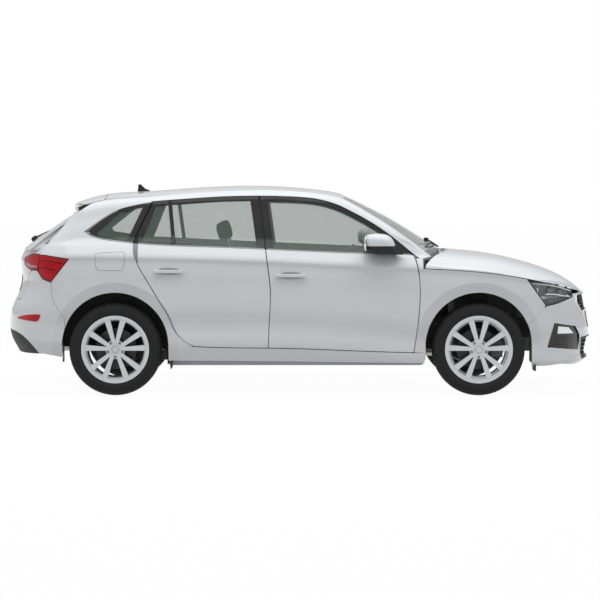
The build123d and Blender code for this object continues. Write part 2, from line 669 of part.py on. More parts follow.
grille = through_end(shrunk(upper_grille, LAMP_GAP), 1900, 2400)
grille += through_end(shrunk(lower_grille, LAMP_GAP), 1900, 2400)
for z in (620, 644, 668, 692):
    grille -= block(1900, 2400, -415, 415, z, z + 12)
for z in (275, 305, 335, 365):
    grille -= block(1900, 2400, -400, 400, z, z + 16)
grille &= nose_wall(PANEL / 2, PANEL + 14)
write("grille", grille)
lamp_area = area(*[[point] for point in HEADLAMP])
headlamp = through_side(lamp_area, 300) & nose_wall(1, 80)
middle_x = sum(x for x, _ in FOG) / len(FOG)
middle_z = sum(z for _, z in FOG) / len(FOG)
fog_edge = [(x - math.copysign(0.5, x - middle_x), z - math.copysign(0.5, z - middle_z)) for x, z in FOG]
fog_area = area(*[[point] for point in fog_edge])
fog = through_side(fog_area, 480.6, 1200) & nose_wall(10, 40)
write("headlamps", headlamp, mirrored(headlamp))
write("fog_lamps", fog, mirrored(fog))
rear_side = area([(-2400, 906)], [(-2400, 250)], [(-2126, 290)], [(-1875, 300)], [(-1718, 277)], [(-1718, 560)],
                 [(-1808, 699)], [(-1818.5, 821)], [(-1889, 846)], [(-1930, 906)])
rear_bumper = through_side(rear_side, -1200, 1200)
rear_bumper -= wheel_round(REAR_AXLE_X, HUB_Z + ARCH_RISE, -1200, 1200, ARCH_RADIUS)
rear_bumper -= through_end(both([(506, 684), (526, 757), (567, 864), (632, 906), (632, 1004)]), -2400, -1500)
rear_bumper &= tail_wall(0, PANEL)
for side in (-1, 1):
    rear_bumper += block(-2160, REAR_PANEL_X - SEAT_GAP, side * 240, side * 260, 420, 460)
write("rear_bumper", rear_bumper)
lamp = through_side(tail_lamp_area(LAMP_GAP), 200) & tail_wall(1, 70)
lamp -= through_end(tailgate_outline(GATE_GAP), -FAR, -1440)
write("tail_lamps", lamp, mirrored(lamp))

# ---------------------------------------------------------------- tailgate
def gate_lamp_area(shrink):
    """The tail lamp's end on the tailgate, seen from the side."""
    return area([(-2046 + shrink, 998 - shrink)], [(-1977, 1031 - shrink)], [(-1863 - 2 * shrink, 1031 - shrink)],
                [(-1926 - shrink, 905 + shrink)], [(-1984, 905 + shrink)], [(-2018, 922 + shrink)],
                [(-2046 + shrink, 944 + shrink)])


GATE_SKIN, GATE_RIM, GATE_DEPTH = 14, -22, 60
lower_gate = through_end(tailgate_outline(0), -2400, -1560) & tail_wall(0, GATE_SKIN)
lower_gate += through_end(tailgate_outline(GATE_RIM), -2400, -1560) & tail_wall(0, 50)
lower_gate &= area_through([(-2400, 1100)], [(-1700, 1100)], [(-1700, 600)], [(-2400, 600)])
lamp_space = area([(-2046, 998)], [(-1977, 1031)], [(-1700, 1031)], [(-1700, 905)], [(-1984, 905)], [(-2018, 922)],
                  [(-2046, 944)])
lamp_space = through_side(lamp_space, 300)
lower_gate -= lamp_space
lower_gate -= mirrored(lamp_space)
upper_gate = through_end(tailgate_outline(0), -2400, -1560)
upper_gate &= top_block(back_glass_top, -2300, -1350, 0, GATE_SKIN)
upper_rim = through_end(tailgate_outline(GATE_RIM), -2400, -1560)
upper_gate += upper_rim & top_block(back_glass_top, -2300, -1350, 0, GATE_DEPTH)
upper_gate &= area_through([(-1600, 1330)], [(-1600, 1060)], [(-2058, 1060)], [(-1996, 1128)], [(-1996, 1330)])
GATE_WINDOW = both([(520, 1165), (480, 1322)])
upper_gate -= through_end(GATE_WINDOW, -2400, -1500)
spoiler_side = area([(-1443, 1600)], [(-1443, 1395)], [(-1520, 1370)], [(-1600, 1315)], [(-1640, 1330)],
                    [(-1665, 1375)], [(-1680, 1398)], [(-1680, 1600)])
spoiler = through_side(spoiler_side, -588, 588) & roof_outer
write("tailgate", upper_gate + spoiler + lower_gate)
gate_glass = through_end(shrunk(GATE_WINDOW, SEAT_GAP), -2400, -1500)
write("tailgate_glass", gate_glass & top_block(back_glass_top, -2300, -1350, GLASS_INSET, GLASS + 2))
gate_lamp = through_side(gate_lamp_area(LAMP_GAP), 300) & through_end(tailgate_outline(-4), -2400, -1500)
gate_lamp &= tail_wall(1, 39)
write("tailgate_lamps", gate_lamp, mirrored(gate_lamp))


# ---------------------------------------------------------------- floor and structure
FLOOR_HALF = SILL_SEAT - SEAT_GAP
BULKHEAD_X = 882
REAR_WELL_IN = 610


def floor_pan():
    """Floor with its tunnel, bulkhead, seat step, load floor and rear panel."""
    low, high = FLOOR_Z, FLOOR_Z + FLOOR_THICK
    pan = block(-960, BULKHEAD_X, -FLOOR_HALF, FLOOR_HALF, low, high)
    pan += block(-980, -960, -REAR_WELL_IN, REAR_WELL_IN, low, LOAD_FLOOR_Z)
    pan += block(-960, BULKHEAD_X, -160, 160, low, low + TUNNEL_HEIGHT)
    pan -= block(-990, BULKHEAD_X - 20, -140, 140, low - 1, low + TUNNEL_HEIGHT - 20)
    for side in (-1, 1):
        inner = side * (FLOOR_HALF - FLOOR_THICK)
        pan += block(-955, BULKHEAD_X, side * FLOOR_HALF, inner, low, low + SILL_FLANGE)
    pan += block(-1700, -960, -REAR_WELL_IN, REAR_WELL_IN, LOAD_FLOOR_Z - 20, LOAD_FLOOR_Z)
    pan += block(-1720, -1700, -REAR_WELL_IN, REAR_WELL_IN, SPARE_FLOOR_Z - 20, LOAD_FLOOR_Z)
    pan += block(-1880, -1700, -REAR_WELL_IN, REAR_WELL_IN, SPARE_FLOOR_Z - 20, SPARE_FLOOR_Z)
    pan += block(REAR_PANEL_X, -1880, -REAR_PANEL_HALF, REAR_PANEL_HALF, SPARE_FLOOR_Z - 20, SPARE_FLOOR_Z)
    pan += block(REAR_PANEL_X, REAR_PANEL_X + 20, -REAR_PANEL_HALF, REAR_PANEL_HALF, SPARE_FLOOR_Z - 20, 650)
    pan += block(BULKHEAD_X, BULKHEAD_X + 20, -690, 690, low, 960)
    pan -= block(BULKHEAD_X - 30, BULKHEAD_X + 30, -100, 100, low - 1, low + 90)
    pan += block(REAR_PANEL_X - 70, REAR_PANEL_X, -40, 40, 640, TAILGATE[0][1] - SEAT_GAP)
    bracket = block(BULKHEAD_X + 20, 1065, 300, 330, 880, 1100)
    bracket &= top_block(hood_top, 800, 1300, COWL_DEPTH + 14 + SEAT_GAP)
    pan += bracket + mirrored(bracket)
    return pan


TOWER_Y = 500
HOOD_REST_Z = 772.6


def front_structure():
    """Two rails and a nose beam, the panel that carries the lamps, and the strut towers."""
    half = block(BULKHEAD_X + 20, 2040, RAIL_Y - RAIL_HALF, RAIL_Y + RAIL_HALF, 400, 500)
    half += block(2010, NOSE_BEAM_X, 0, 470, 400, 500)
    half += block(1975, 2010, 0, 470, 540, 660) + block(1975, 2010, 0, 400, 650, 700)
    half += block(1975, 2010, RAIL_Y - RAIL_HALF, RAIL_Y + RAIL_HALF, 480, 560)
    half += block(1982, 2002, 290, 310, 690, HOOD_REST_Z)
    tower = Pos(FRONT_AXLE_X, TOWER_Y, 740) * Cylinder(75, 100)
    tower -= Pos(FRONT_AXLE_X, TOWER_Y, 720) * Cylinder(60, 100)
    half += tower + block(FRONT_AXLE_X - 90, FRONT_AXLE_X + 90, 400, 430, 480, 790)
    return half + mirrored(half)


LINER_RADIUS = FRONT_AXLE_X - FRAME_FRONT - SEAT_GAP


def arch_liner(x, inner, outer, wall):
    """A left wheel arch liner: half a round shell, with an inner wall of a thickness if any."""
    z = HUB_Z + ARCH_RISE
    liner = wheel_round(x, z, inner, outer, LINER_RADIUS) - wheel_round(x, z, inner + wall, 900, LINER_RADIUS - 4)
    if not wall:
        liner -= wheel_round(x, z, 0, 900, LINER_RADIUS - 4)
    liner &= block(x - 500, x + 500, 0, 1200, z - 20, z + 500)
    for near in (x - LINER_RADIUS, x + LINER_RADIUS - 4):
        liner += block(near, near + 4, inner, outer - 0.6, FLOOR_Z + FLOOR_THICK + SEAT_GAP, z - 19)
    return liner


write("floor_pan", floor_pan())
write("front_structure", front_structure())
rear_liner = arch_liner(REAR_AXLE_X, REAR_WELL_IN + SEAT_GAP, 715, 4)
rear_liner -= wheel_round(REAR_AXLE_X, HUB_Z, REAR_WELL_IN - 5, REAR_WELL_IN + 10, 60)
liners = [arch_liner(FRONT_AXLE_X, 585, 780, 0), rear_liner]
write("arch_liners", *liners, *[mirrored(piece) for piece in liners])

# ---------------------------------------------------------------- cabin
dash_back = BULKHEAD_X - SEAT_GAP
dash = area_through([(dash_back, 640)], [(dash_back, 965)], [(760, 1000)], [(560, 985)], [(500, 930)],
                    [(540, 760)], [(640, 630)])
dash &= block(400, 1000, -700, 700, 0, 1200)
dash += block(-150, 700, -110, 110, FLOOR_Z + TUNNEL_HEIGHT + SEAT_GAP, 620)
dash += block(600, 700, -110, 110, 600, 700)

SEAT_Y = 360
WHEEL_CENTRE = Vector(330, SEAT_Y, 900)
COLUMN = Vector(0.88, 0, -0.475).normalized()
SHAFT = 70
wheel_plane = Plane(origin=WHEEL_CENTRE, x_dir=(0, 1, 0), z_dir=-COLUMN)
steering = wheel_plane * Torus(178, 15) + wheel_plane * Cylinder(58, 34)
for angle in (0, 180, 270):
    steering += wheel_plane * Rot(0, 0, angle) * Pos(110, 0, 0) * Box(140, 26, 14)
steering += tube(WHEEL_CENTRE, WHEEL_CENTRE + COLUMN * SHAFT, 28)
write("steering_wheel", steering)
dash += tube(WHEEL_CENTRE + COLUMN * (SHAFT + SEAT_GAP), WHEEL_CENTRE + COLUMN * 300, 34)
write("dashboard", dash)


def cushion(x, z, length, width, height, lean, round_by=35):
    """A soft block with rounded edges about its middle, leaning back."""
    return Pos(x, 0, z) * Rot(0, -lean, 0) * fillet(Box(length, width, height).edges(), round_by)


def front_seat():
    """A front seat: base, cushion, backrest and headrest on its posts."""
    chair = block(-330, 130, -190, 190, FLOOR_Z + FLOOR_THICK + SEAT_GAP, 420)
    chair += cushion(-80, 460, 520, 490, 130, 8)
    chair += cushion(-430, 780, 130, 480, 660, 18)
    chair += cushion(-575, 1185, 85, 250, 150, 16)
    for y in (-60, 60):
        chair += tube((-490, y, 1000), (-572, y, 1170), 7)
    return Pos(0, SEAT_Y, 0) * chair


def rear_bench():
    """The rear bench: cushion, backrest and three headrests."""
    bench = cushion(-760, 526, 520, 1180, 140, 6)
    bench += block(-940, -620, -560, 560, FLOOR_Z + TUNNEL_HEIGHT + SEAT_GAP, 500)
    bench += cushion(-1080, 780, 130, 1180, 560, 20)
    for y in (-380, 0, 380):
        bench += Pos(0, y, 0) * cushion(-1205, 1100, 75, 240, 110, 18, 30)
        for post in (-50, 50):
            bench += tube((-1140, y + post, 960), (-1200, y + post, 1090), 7)
    return bench


chair = front_seat()
write("front_seats", chair, mirrored(chair))
write("rear_bench", rear_bench())

# ---------------------------------------------------------------- drivetrain and chassis
engine = block(1150, 1620, -340, 340, 300, 820)
engine += block(1250, 1500, -RAIL_Y + RAIL_HALF + SEAT_GAP, RAIL_Y - RAIL_HALF - SEAT_GAP, 420, 480)
write("engine", engine)

KNUCKLE_Y = TRACK_FRONT / 2 - 95
BALL_Z = 222


def front_suspension():
    """The subframe and the lower arms."""
    frame = block(1120, 1480, -330, 330, 235, 275)
    for y in (-1, 1):
        frame += block(1250, 1390, y * 300, y * 330, 235, 299.7)
        frame += block(1250, 1390, y * 300, y * (RAIL_Y + 30), 270, 300)
        frame += block(1250, 1390, y * (RAIL_Y - 30), y * (RAIL_Y + 30), 270, 400 - SEAT_GAP)
        for x in (1150, 1450):
            frame += tube((x, y * 320, 255), (FRONT_AXLE_X, y * (KNUCKLE_Y - 22), BALL_Z - 24), 17)
        frame += Pos(FRONT_AXLE_X, y * (KNUCKLE_Y - 10), BALL_Z - SEAT_GAP - 20) * Cylinder(28, 40)
    return frame


def rear_suspension():
    """The rear axle: crossbeam, trailing arms, hubs, springs and dampers."""
    axle = tube((REAR_AXLE_X + 60, -560, HUB_Z - 60), (REAR_AXLE_X + 60, 560, HUB_Z - 60), 34)
    hub_face = TRACK_REAR / 2 - 34 - SEAT_GAP
    spring_top = LOAD_FLOOR_Z - 20 - SEAT_GAP
    for y in (-1, 1):
        axle += block(REAR_AXLE_X - 40, REAR_STEP_X - SEAT_GAP, y * 530, y * 575, HUB_Z - 95, HUB_Z - 25)
        axle += block(REAR_AXLE_X - 45, REAR_AXLE_X + 45, y * 575, y * 600, HUB_Z - 95, HUB_Z + 45)
        axle += tube((REAR_AXLE_X, y * 590, HUB_Z), (REAR_AXLE_X, y * hub_face, HUB_Z), 42)
        axle += block(REAR_AXLE_X - 100, REAR_AXLE_X + 40, y * 440, y * 560, HUB_Z - 80, HUB_Z - 60)
        axle += tube((REAR_AXLE_X - 40, y * 490, HUB_Z - 70), (REAR_AXLE_X - 40, y * 490, spring_top), 50)
    return axle


def exhaust():
    """Silencer, pipe and tailpipe, hung under the floor."""
    line = Pos(-1880, -300, 336) * fillet(Box(360, 260, 80).edges(), 36)
    route = [(-1720, -300, 336), (-1450, -150, 352), (-1160, -60, 352), (-1000, -60, 262), (1040, -60, 262)]
    for start, end in zip(route, route[1:]):
        line += tube(start, end, 26) + Pos(*end) * Sphere(26)
    line += tube((-2040, -330, 330), (-2078, -330, 330), 24)
    line += block(-1900, -1860, -320, -280, 350, SPARE_FLOOR_Z - 20 - SEAT_GAP)
    return line


write("front_suspension", front_suspension())
write("rear_suspension", rear_suspension())
write("exhaust", exhaust())
write("fuel_tank", Pos(-1150, 260, LOAD_FLOOR_Z - 20 - SEAT_GAP - 80) * fillet(Box(200, 420, 160).edges(), 30))

# ---------------------------------------------------------------- wheels
RIM_HALF = 95
SPOKE_PAIRS = 5
BOLT_CIRCLE, BOLT_HOLE = 112, 11
DISC_RADIUS = 150


def ring(*outline):
    """A solid of revolution about Y from (radius, y) corners."""
    return Solid.revolve(flat([Vector(radius, y, 0) for radius, y in outline]), 360, Axis.Y)


def tyre():
    """A tyre about Y."""
    half, r, bead = TYRE_WIDTH / 2, TYRE_RADIUS, RIM_RADIUS - 22
    middle = (bead + r) / 2
    right = [(bead, half - 27), (RIM_RADIUS + 0.5, half - 21), (RIM_RADIUS + 4.5, half - 9), (middle, half),
             (r - 26, half - 8), (r - 7, half - 26), (r, half - 52)]
    inner = [(bead, half - 40), (middle, half - 14), (r - 22, half - 34)]
    left = [(a, -b) for a, b in right[::-1]]
    return ring(*right, *left, *[(a, -b) for a, b in inner], *inner[::-1])


def rim():
    """A left wheel and its brake disc about Y: five pairs of spokes meeting at the hub."""
    r, half = RIM_RADIUS, RIM_HALF
    seat = r - 22 - SEAT_GAP
    wheel = ring((r, half + 2), (r, half - 6), (r - 14, half - 8), (seat, half - 14), (seat, half - 44),
                 (seat - 18, half - 60), (seat - 18, -half + 60), (seat, -half + 44), (seat, -half + 14),
                 (r - 4, -half + 8), (r - 4, -half), (seat - 8, -half), (seat - 8, -half + 46),
                 (seat - 26, -half + 62), (seat - 26, half - 58), (seat - 8, half - 42), (seat - 8, half - 8), (r - 20, half - 8), (r - 20, half + 2))
    wheel += ring((0, half - 12), (70, half - 12), (70, half - 52), (0, half - 52))
    for k in range(SPOKE_PAIRS):
        for lean in (-1, 1):
            angle = math.radians(18 + 360 / SPOKE_PAIRS * k + lean * 15)
            root = math.radians(18 + 360 / SPOKE_PAIRS * k + lean * 12)
            a = Vector(48 * math.cos(root), 48 * math.sin(root))
            b = Vector((r - 28) * math.cos(angle), (r - 28) * math.sin(angle))
            along = (b - a).normalized()
            across = Vector(-along.Y, along.X)
            corners = [a - across * 13, b - across * 21, b + across * 21, a + across * 13]
            outline = [Vector(p.X, half - 50, p.Y) for p in corners]
            wheel += Solid.extrude(flat(outline), Vector(0, 44, 0))
    for k in range(SPOKE_PAIRS):
        angle = math.radians(54 + 360 / SPOKE_PAIRS * k)
        x, z = BOLT_CIRCLE / 2 * math.cos(angle), BOLT_CIRCLE / 2 * math.sin(angle)
        wheel -= wheel_round(x, z, half - 30, half + 20, BOLT_HOLE)
    wheel += ring((0, half - 51), (70, half - 51), (70, -8), (DISC_RADIUS, -8), (DISC_RADIUS, -34), (0, -34))
    return wheel


one_tyre, one_rim = tyre(), rim()
for end, x, track in (("front", FRONT_AXLE_X, TRACK_FRONT), ("rear", REAR_AXLE_X, TRACK_REAR)):
    place = Pos(x, track / 2, HUB_Z)
    for name, piece in (("tyre", one_tyre), ("rim", one_rim)):
        write(f"{name}_{end}_left", place * piece)
        write(f"{name}_{end}_right", mirrored(place * piece))


def knuckle():
    """The left front knuckle: hub carrier, caliper, steering arm and strut."""
    y = TRACK_FRONT / 2
    carrier = tube((FRONT_AXLE_X, y - 40, HUB_Z), (FRONT_AXLE_X, y - 34.3, HUB_Z), 45)
    carrier += tube((FRONT_AXLE_X, y - 100, HUB_Z), (FRONT_AXLE_X, y - 36, HUB_Z), 45)
    carrier += block(FRONT_AXLE_X - 35, FRONT_AXLE_X + 35, KNUCKLE_Y - 22, KNUCKLE_Y + 8, BALL_Z, HUB_Z + 130)
    carrier += block(FRONT_AXLE_X - 150, FRONT_AXLE_X, KNUCKLE_Y - 18, KNUCKLE_Y + 4, HUB_Z - 50, HUB_Z - 20)
    caliper = block(FRONT_AXLE_X + 95, FRONT_AXLE_X + 178, y - 62, y + 20, HUB_Z - 60, HUB_Z + 60)
    caliper -= wheel_round(FRONT_AXLE_X, HUB_Z, y - 39, y - 3, DISC_RADIUS + 5)
    caliper -= wheel_round(FRONT_AXLE_X, HUB_Z, y - 80, y + 40, 98)
    carrier += caliper + block(FRONT_AXLE_X, FRONT_AXLE_X + 120, KNUCKLE_Y - 16, y - 55, HUB_Z - 25, HUB_Z + 25)
    return carrier


left_knuckle = knuckle()
write("knuckle_front_left", left_knuckle)
write("knuckle_front_right", mirrored(left_knuckle))
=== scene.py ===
"""The looks of a white five-door hatchback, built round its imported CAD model.

Metres, +X forward, +Y left, +Z up.
"""

import json
import math

import bmesh
import bpy
from mathutils import Matrix, Vector
from mathutils.bvhtree import BVHTree


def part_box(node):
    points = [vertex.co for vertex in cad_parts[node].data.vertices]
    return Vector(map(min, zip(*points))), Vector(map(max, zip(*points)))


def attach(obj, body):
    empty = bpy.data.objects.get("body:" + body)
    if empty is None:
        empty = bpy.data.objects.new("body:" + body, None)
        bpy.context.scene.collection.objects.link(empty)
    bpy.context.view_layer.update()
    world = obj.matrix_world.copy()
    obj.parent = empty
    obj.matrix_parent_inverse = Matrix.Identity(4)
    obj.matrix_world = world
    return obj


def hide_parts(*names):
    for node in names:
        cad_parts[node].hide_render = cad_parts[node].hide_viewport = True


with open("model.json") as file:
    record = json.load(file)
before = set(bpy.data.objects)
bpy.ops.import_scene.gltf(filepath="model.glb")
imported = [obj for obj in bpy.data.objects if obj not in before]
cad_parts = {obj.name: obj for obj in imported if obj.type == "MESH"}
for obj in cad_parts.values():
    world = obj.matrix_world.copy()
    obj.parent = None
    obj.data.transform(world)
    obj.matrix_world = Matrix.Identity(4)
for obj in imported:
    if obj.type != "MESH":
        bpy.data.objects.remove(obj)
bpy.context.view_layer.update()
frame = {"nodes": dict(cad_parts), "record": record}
NODES = frame["nodes"]
SLOT_OF = {part["node"]: part["material_slot"] for part in frame["record"]["subparts"]}
SIDES = {"left": 1, "right": -1}

# ---------------------------------------------------------------- lines of the body, in metres
# Height over x of the window line's lower and upper edge.
BELT = [(-1.54, 1.190), (-1.486, 1.150), (-1.355, 1.126), (-1.035, 1.097), (-0.424, 1.074),
        (0.187, 1.046), (0.828, 1.024)]
RAIL = [(-1.60, 1.172), (-1.535, 1.227), (-1.477, 1.270), (-1.411, 1.313), (-1.330, 1.354),
        (-1.280, 1.371), (-1.045, 1.414), (-0.839, 1.430), (-0.427, 1.451), (-0.222, 1.451),
        (-0.016, 1.444), (0.190, 1.415), (0.395, 1.330), (0.601, 1.208), (0.836, 1.022)]
DIFFUSER = [(-2.25, 0.462), (-2.132, 0.455), (-2.074, 0.440), (-2.021, 0.408), (-1.905, 0.288), (-1.80, 0.15)]
HEADLAMP = [(1.664, 0.829), (1.791, 0.818), (1.885, 0.802), (1.979, 0.774), (2.013, 0.762),
            (2.012, 0.711), (2.000, 0.704), (1.885, 0.668), (1.801, 0.653), (1.788, 0.661)]
# Middle between the axles, half the wheelbase, and the height of the arches' centres.
AXLE_MIDDLE, AXLE_HALF, ARCH_HEIGHT = -0.0235, 1.3245, 0.365
# The band round each arch: its inner and outer radius and how far it lies inside the side.
ARCH_INNER, ARCH_OUTER, ARCH_DEPTH = 0.389, 0.462, 0.025
# Where the floor's painted edge starts, and how far out a wheel's face begins; inward of that the rim is painted dark
# as shade.
FLOOR_PAINT_Y, RIM_FACE_Y = 0.68, 0.800
# How strong the floor's shadow is, the sky's strength low down and overhead, and the lamp's power.
FLOOR_SHADOW, SKY_LEVELS, LAMP_WATTS = 0.03, (0.42, 0.86), 160.0
# The picture's width and the focal length in the same unit, and how far the camera looks down in degrees.
PICTURE, FOCAL_LENGTH, LOOK_DOWN = 600, 2422, 2.93
# Just above the wiper tray, so that a ray past its edge finds the nearest skin there.
ABOVE_TRAY = 1.25


def smooth(points, steps=8, closed=False):
    """Points along a smooth line through a few."""
    points = [Vector(p) for p in points]
    count = len(points)
    line = []
    for i in range(count if closed else count - 1):
        a, b = points[i], points[(i + 1) % count]
        before = points[i - 1] if i or closed else a * 2 - b
        after = points[(i + 2) % count] if i + 2 < count or closed else b * 2 - a
        for k in range(steps):
            t = k / steps
            bend = (2 * before - 5 * a + 4 * b - after) * t * t + (3 * a - before - 3 * b + after) * t**3
            line.append((2 * a + (b - before) * t + bend) * 0.5)
    return line if closed else line + [points[-1]]


def straight(points, step=0.02, closed=True):
    """Points along the straight runs between a few corners."""
    points = [Vector(p) for p in points]
    line = []
    for i in range(len(points) if closed else len(points) - 1):
        a, b = points[i], points[(i + 1) % len(points)]
        count = max(1, round((b - a).length / step))
        line += [a.lerp(b, k / count) for k in range(count)]
    return line if closed else line + [points[-1]]


def height_on(line, x):
    """Height at x of a line given as height over x."""
    spots = smooth(line)
    for (x0, z0), (x1, z1) in zip(spots, spots[1:]):
        if x0 <= x <= x1:
            return z0 + (z1 - z0) * (x - x0) / (x1 - x0)
    return spots[0][1] if x < spots[0][0] else spots[-1][1]


def mirrored(points):
    """An outline of (y, z) for y > 0, with its mirror image."""
    return points + [(-y, z) for y, z in points[::-1]]


# ---------------------------------------------------------------- finding the skin
_trees = {}


def skin(*names):
    """A search tree over the surfaces of some CAD nodes."""
    if names not in _trees:
        corners, faces = [], []
        for name in names:
            mesh = NODES[name].data
            start = len(corners)
            corners += [v.co.copy() for v in mesh.vertices]
            faces += [[start + i for i in face.vertices] for face in mesh.polygons]
        _trees[names] = BVHTree.FromPolygons(corners, faces)
    return _trees[names]


def meet(search, start, way):
    """Where a ray meets the skin and its outward direction there, or the nearest place to its start."""
    way = Vector(way)
    point, normal, _, _ = search.ray_cast(Vector(start), way)
    if point is None:
        point, normal, _, _ = search.find_nearest(Vector(start))
    if normal.dot(way) > 0:
        normal = -normal
    return point, normal


def from_side(search, side, reach=1.3):
    """Looks up the skin over (x, z) from the left (1) or the right (-1)."""
    return lambda x, z: meet(search, (x, side * reach, z), (0, -side, 0))


def from_end(search, end):
    """Looks up the skin over (y, z) from ahead (1) or behind (-1)."""
    return lambda y, z: meet(search, (end * 3, y, z), (-end, 0, 0))


def from_above(search):
    """Looks up the skin over (x, y) from above."""
    return lambda x, y: meet(search, (x, y, ABOVE_TRAY), (0, 0, -1))


# ---------------------------------------------------------------- making meshes
SHARP = math.radians(38)


def piece(name, corners, faces, material, body, slot=None):
    """A closed mesh that moves with a body, in its material; the slot argument is not used."""
    mesh = bpy.data.meshes.new(name)
    mesh.from_pydata([tuple(c) for c in corners], [], faces)
    made = bmesh.new()
    made.from_mesh(mesh)
    bmesh.ops.recalc_face_normals(made, faces=made.faces)
    for edge in made.edges:
        edge.smooth = not edge.is_manifold or edge.calc_face_angle(0) < SHARP
    for face in made.faces:
        face.smooth = True
    made.to_mesh(mesh)
    made.free()
    mesh.materials.append(material)
    thing = bpy.data.objects.new(name, mesh)
    bpy.context.scene.collection.objects.link(thing)
    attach(thing, body)
    return thing


def joined(parts):
    """Several (corners, faces) as one."""
    corners, faces = [], []
    for part_corners, part_faces in parts:
        start = len(corners)
        corners += [Vector(c) for c in part_corners]
        faces += [tuple(start + i for i in face) for face in part_faces]
    return corners, faces


def moved(part, matrix):
    """(corners, faces) carried by a matrix."""
    corners, faces = part
    return [matrix @ Vector(c) for c in corners], faces


def sweep(line, outs, section, closed=False):
    """A bar along a line; outs are its outward directions and section its (across, out) corners."""
    corners, faces = [], []
    count, turn = len(line), len(section)
    for i, (point, out) in enumerate(zip(line, outs)):
        ahead = line[(i + 1) % count] if closed or i + 1 < count else point
        behind = line[i - 1] if closed or i else point
        along = (ahead - behind).normalized()
        across = out.cross(along).normalized()
        rise = along.cross(across)
        corners += [point + across * a + rise * b for a, b in section]
    for i in range(count if closed else count - 1):
        j = (i + 1) % count
        for k in range(turn):
            m = (k + 1) % turn
            faces.append((i * turn + k, j * turn + k, j * turn + m, i * turn + m))
    if not closed:
        faces.append(tuple(range(turn)))
        faces.append(tuple((count - 1) * turn + k for k in range(turn)))
    return corners, faces


def strip(line, look, width, low, high):
    """A flat-topped bar laid on the skin along a line of two coordinates."""
    spots = [look(*point) for point in line]
    edge = min(width, high - low) * 0.3
    half = width / 2
    section = [(-half, low), (half, low), (half, high - edge), (half - edge, high), (edge - half, high),
               (-half, high - edge)]
    return sweep([p for p, _ in spots], [n for _, n in spots], section)


def loop(line, look, width, low, high):
    """A bar laid on the skin round a closed outline."""
    spots = [look(*point) for point in line]
    half = width / 2
    section = [(-half, low), (half, low), (half * 0.7, high), (-half * 0.7, high)]
    return sweep([p for p, _ in spots], [n for _, n in spots], section, closed=True)


def plate(outline, look, low, high, cell=0.03):
    """A sheet over a closed outline, laid on the skin from low to high above it."""
    flat = bmesh.new()
    ring = [flat.verts.new((a, b, 0)) for a, b in outline]
    flat.faces.new(ring)
    bmesh.ops.triangulate(flat, faces=flat.faces[:])
    for _ in range(6):
        long = [edge for edge in flat.edges if edge.calc_length() > cell]
        if not long:
            break
        bmesh.ops.subdivide_edges(flat, edges=long, cuts=1)
        bmesh.ops.triangulate(flat, faces=[face for face in flat.faces if len(face.verts) > 3])
    flat.verts.index_update()
    spots = [look(vert.co.x, vert.co.y) for vert in flat.verts]
    corners = [p + n * high for p, n in spots] + [p + n * low for p, n in spots]
    count = len(spots)
    faces = []
    for face in flat.faces:
        loop_of = [vert.index for vert in face.verts]
        faces.append(tuple(loop_of))
        faces.append(tuple(count + i for i in loop_of[::-1]))
    for edge in flat.edges:
        if edge.is_boundary:
            a, b = (vert.index for vert in edge.verts)
            faces.append((a, b, count + b, count + a))
    flat.free()
    return corners, faces


def lathe(profile, steps, groove=None):
    """A solid of revolution about Y from a closed (radius, y) profile.

    groove(turn, k) lowers a corner's radius.
    """
    corners, faces = [], []
    turn = len(profile)
    for i in range(steps):
        angle = 2 * math.pi * i / steps
        for k, (radius, y) in enumerate(profile):
            r = radius - (groove(i, k) if groove else 0)
            corners.append(Vector((r * math.cos(angle), y, r * math.sin(angle))))
    for i in range(steps):
        j = (i + 1) % steps
        for k in range(turn):
            m = (k + 1) % turn
            faces.append((i * turn + k, i * turn + m, j * turn + m, j * turn + k))
    return corners, faces


def disc(radius, low, high, ease, steps=32):
    """A round button about Y with an eased outer edge."""
    return lathe([(0.0001, low), (radius, low), (radius, high - ease), (radius - ease, high), (0.0001, high)], steps)


def slab(size, ease, steps=4):
    """A box with rounded corners seen along X and eased faces, about the origin."""
    dx, dy, dz = (s / 2 for s in size)
    corners, faces = [], []
    ring_count = 4 * (steps + 1)
    for x, shrink in ((-dx, 0), (dx - ease * 0.4, 0), (dx, ease * 0.4)):
        for quarter in range(4):
            sy, sz = ((1, 1), (-1, 1), (-1, -1), (1, -1))[quarter]
            for k in range(steps + 1):
                angle = math.pi / 2 * (quarter + k / steps)
                y = sy * (dy - ease) + (ease - shrink) * math.cos(angle)
                z = sz * (dz - ease) + (ease - shrink) * math.sin(angle)
                corners.append(Vector((x, y, z)))
    for level in range(2):
        for k in range(ring_count):
            m = (k + 1) % ring_count
            low, high = level * ring_count, (level + 1) * ring_count
            faces.append((low + k, low + m, high + m, high + k))
    faces.append(tuple(range(ring_count)))
    faces.append(tuple(2 * ring_count + k for k in range(ring_count)))
    return corners, faces


def pipe(line, radius, steps=10):
    """A round bar along a line."""
    outs = []
    for i in range(len(line)):
        along = (line[min(i + 1, len(line) - 1)] - line[max(i - 1, 0)]).normalized()
        side = Vector((0, 0, 1)) if abs(along.z) < 0.8 else Vector((0, 1, 0))
        outs.append((side - along * side.dot(along)).normalized())
    turns = [2 * math.pi * k / steps for k in range(steps)]
    section = [(radius * math.cos(turn), radius * math.sin(turn)) for turn in turns]
    return sweep(line, outs, section)


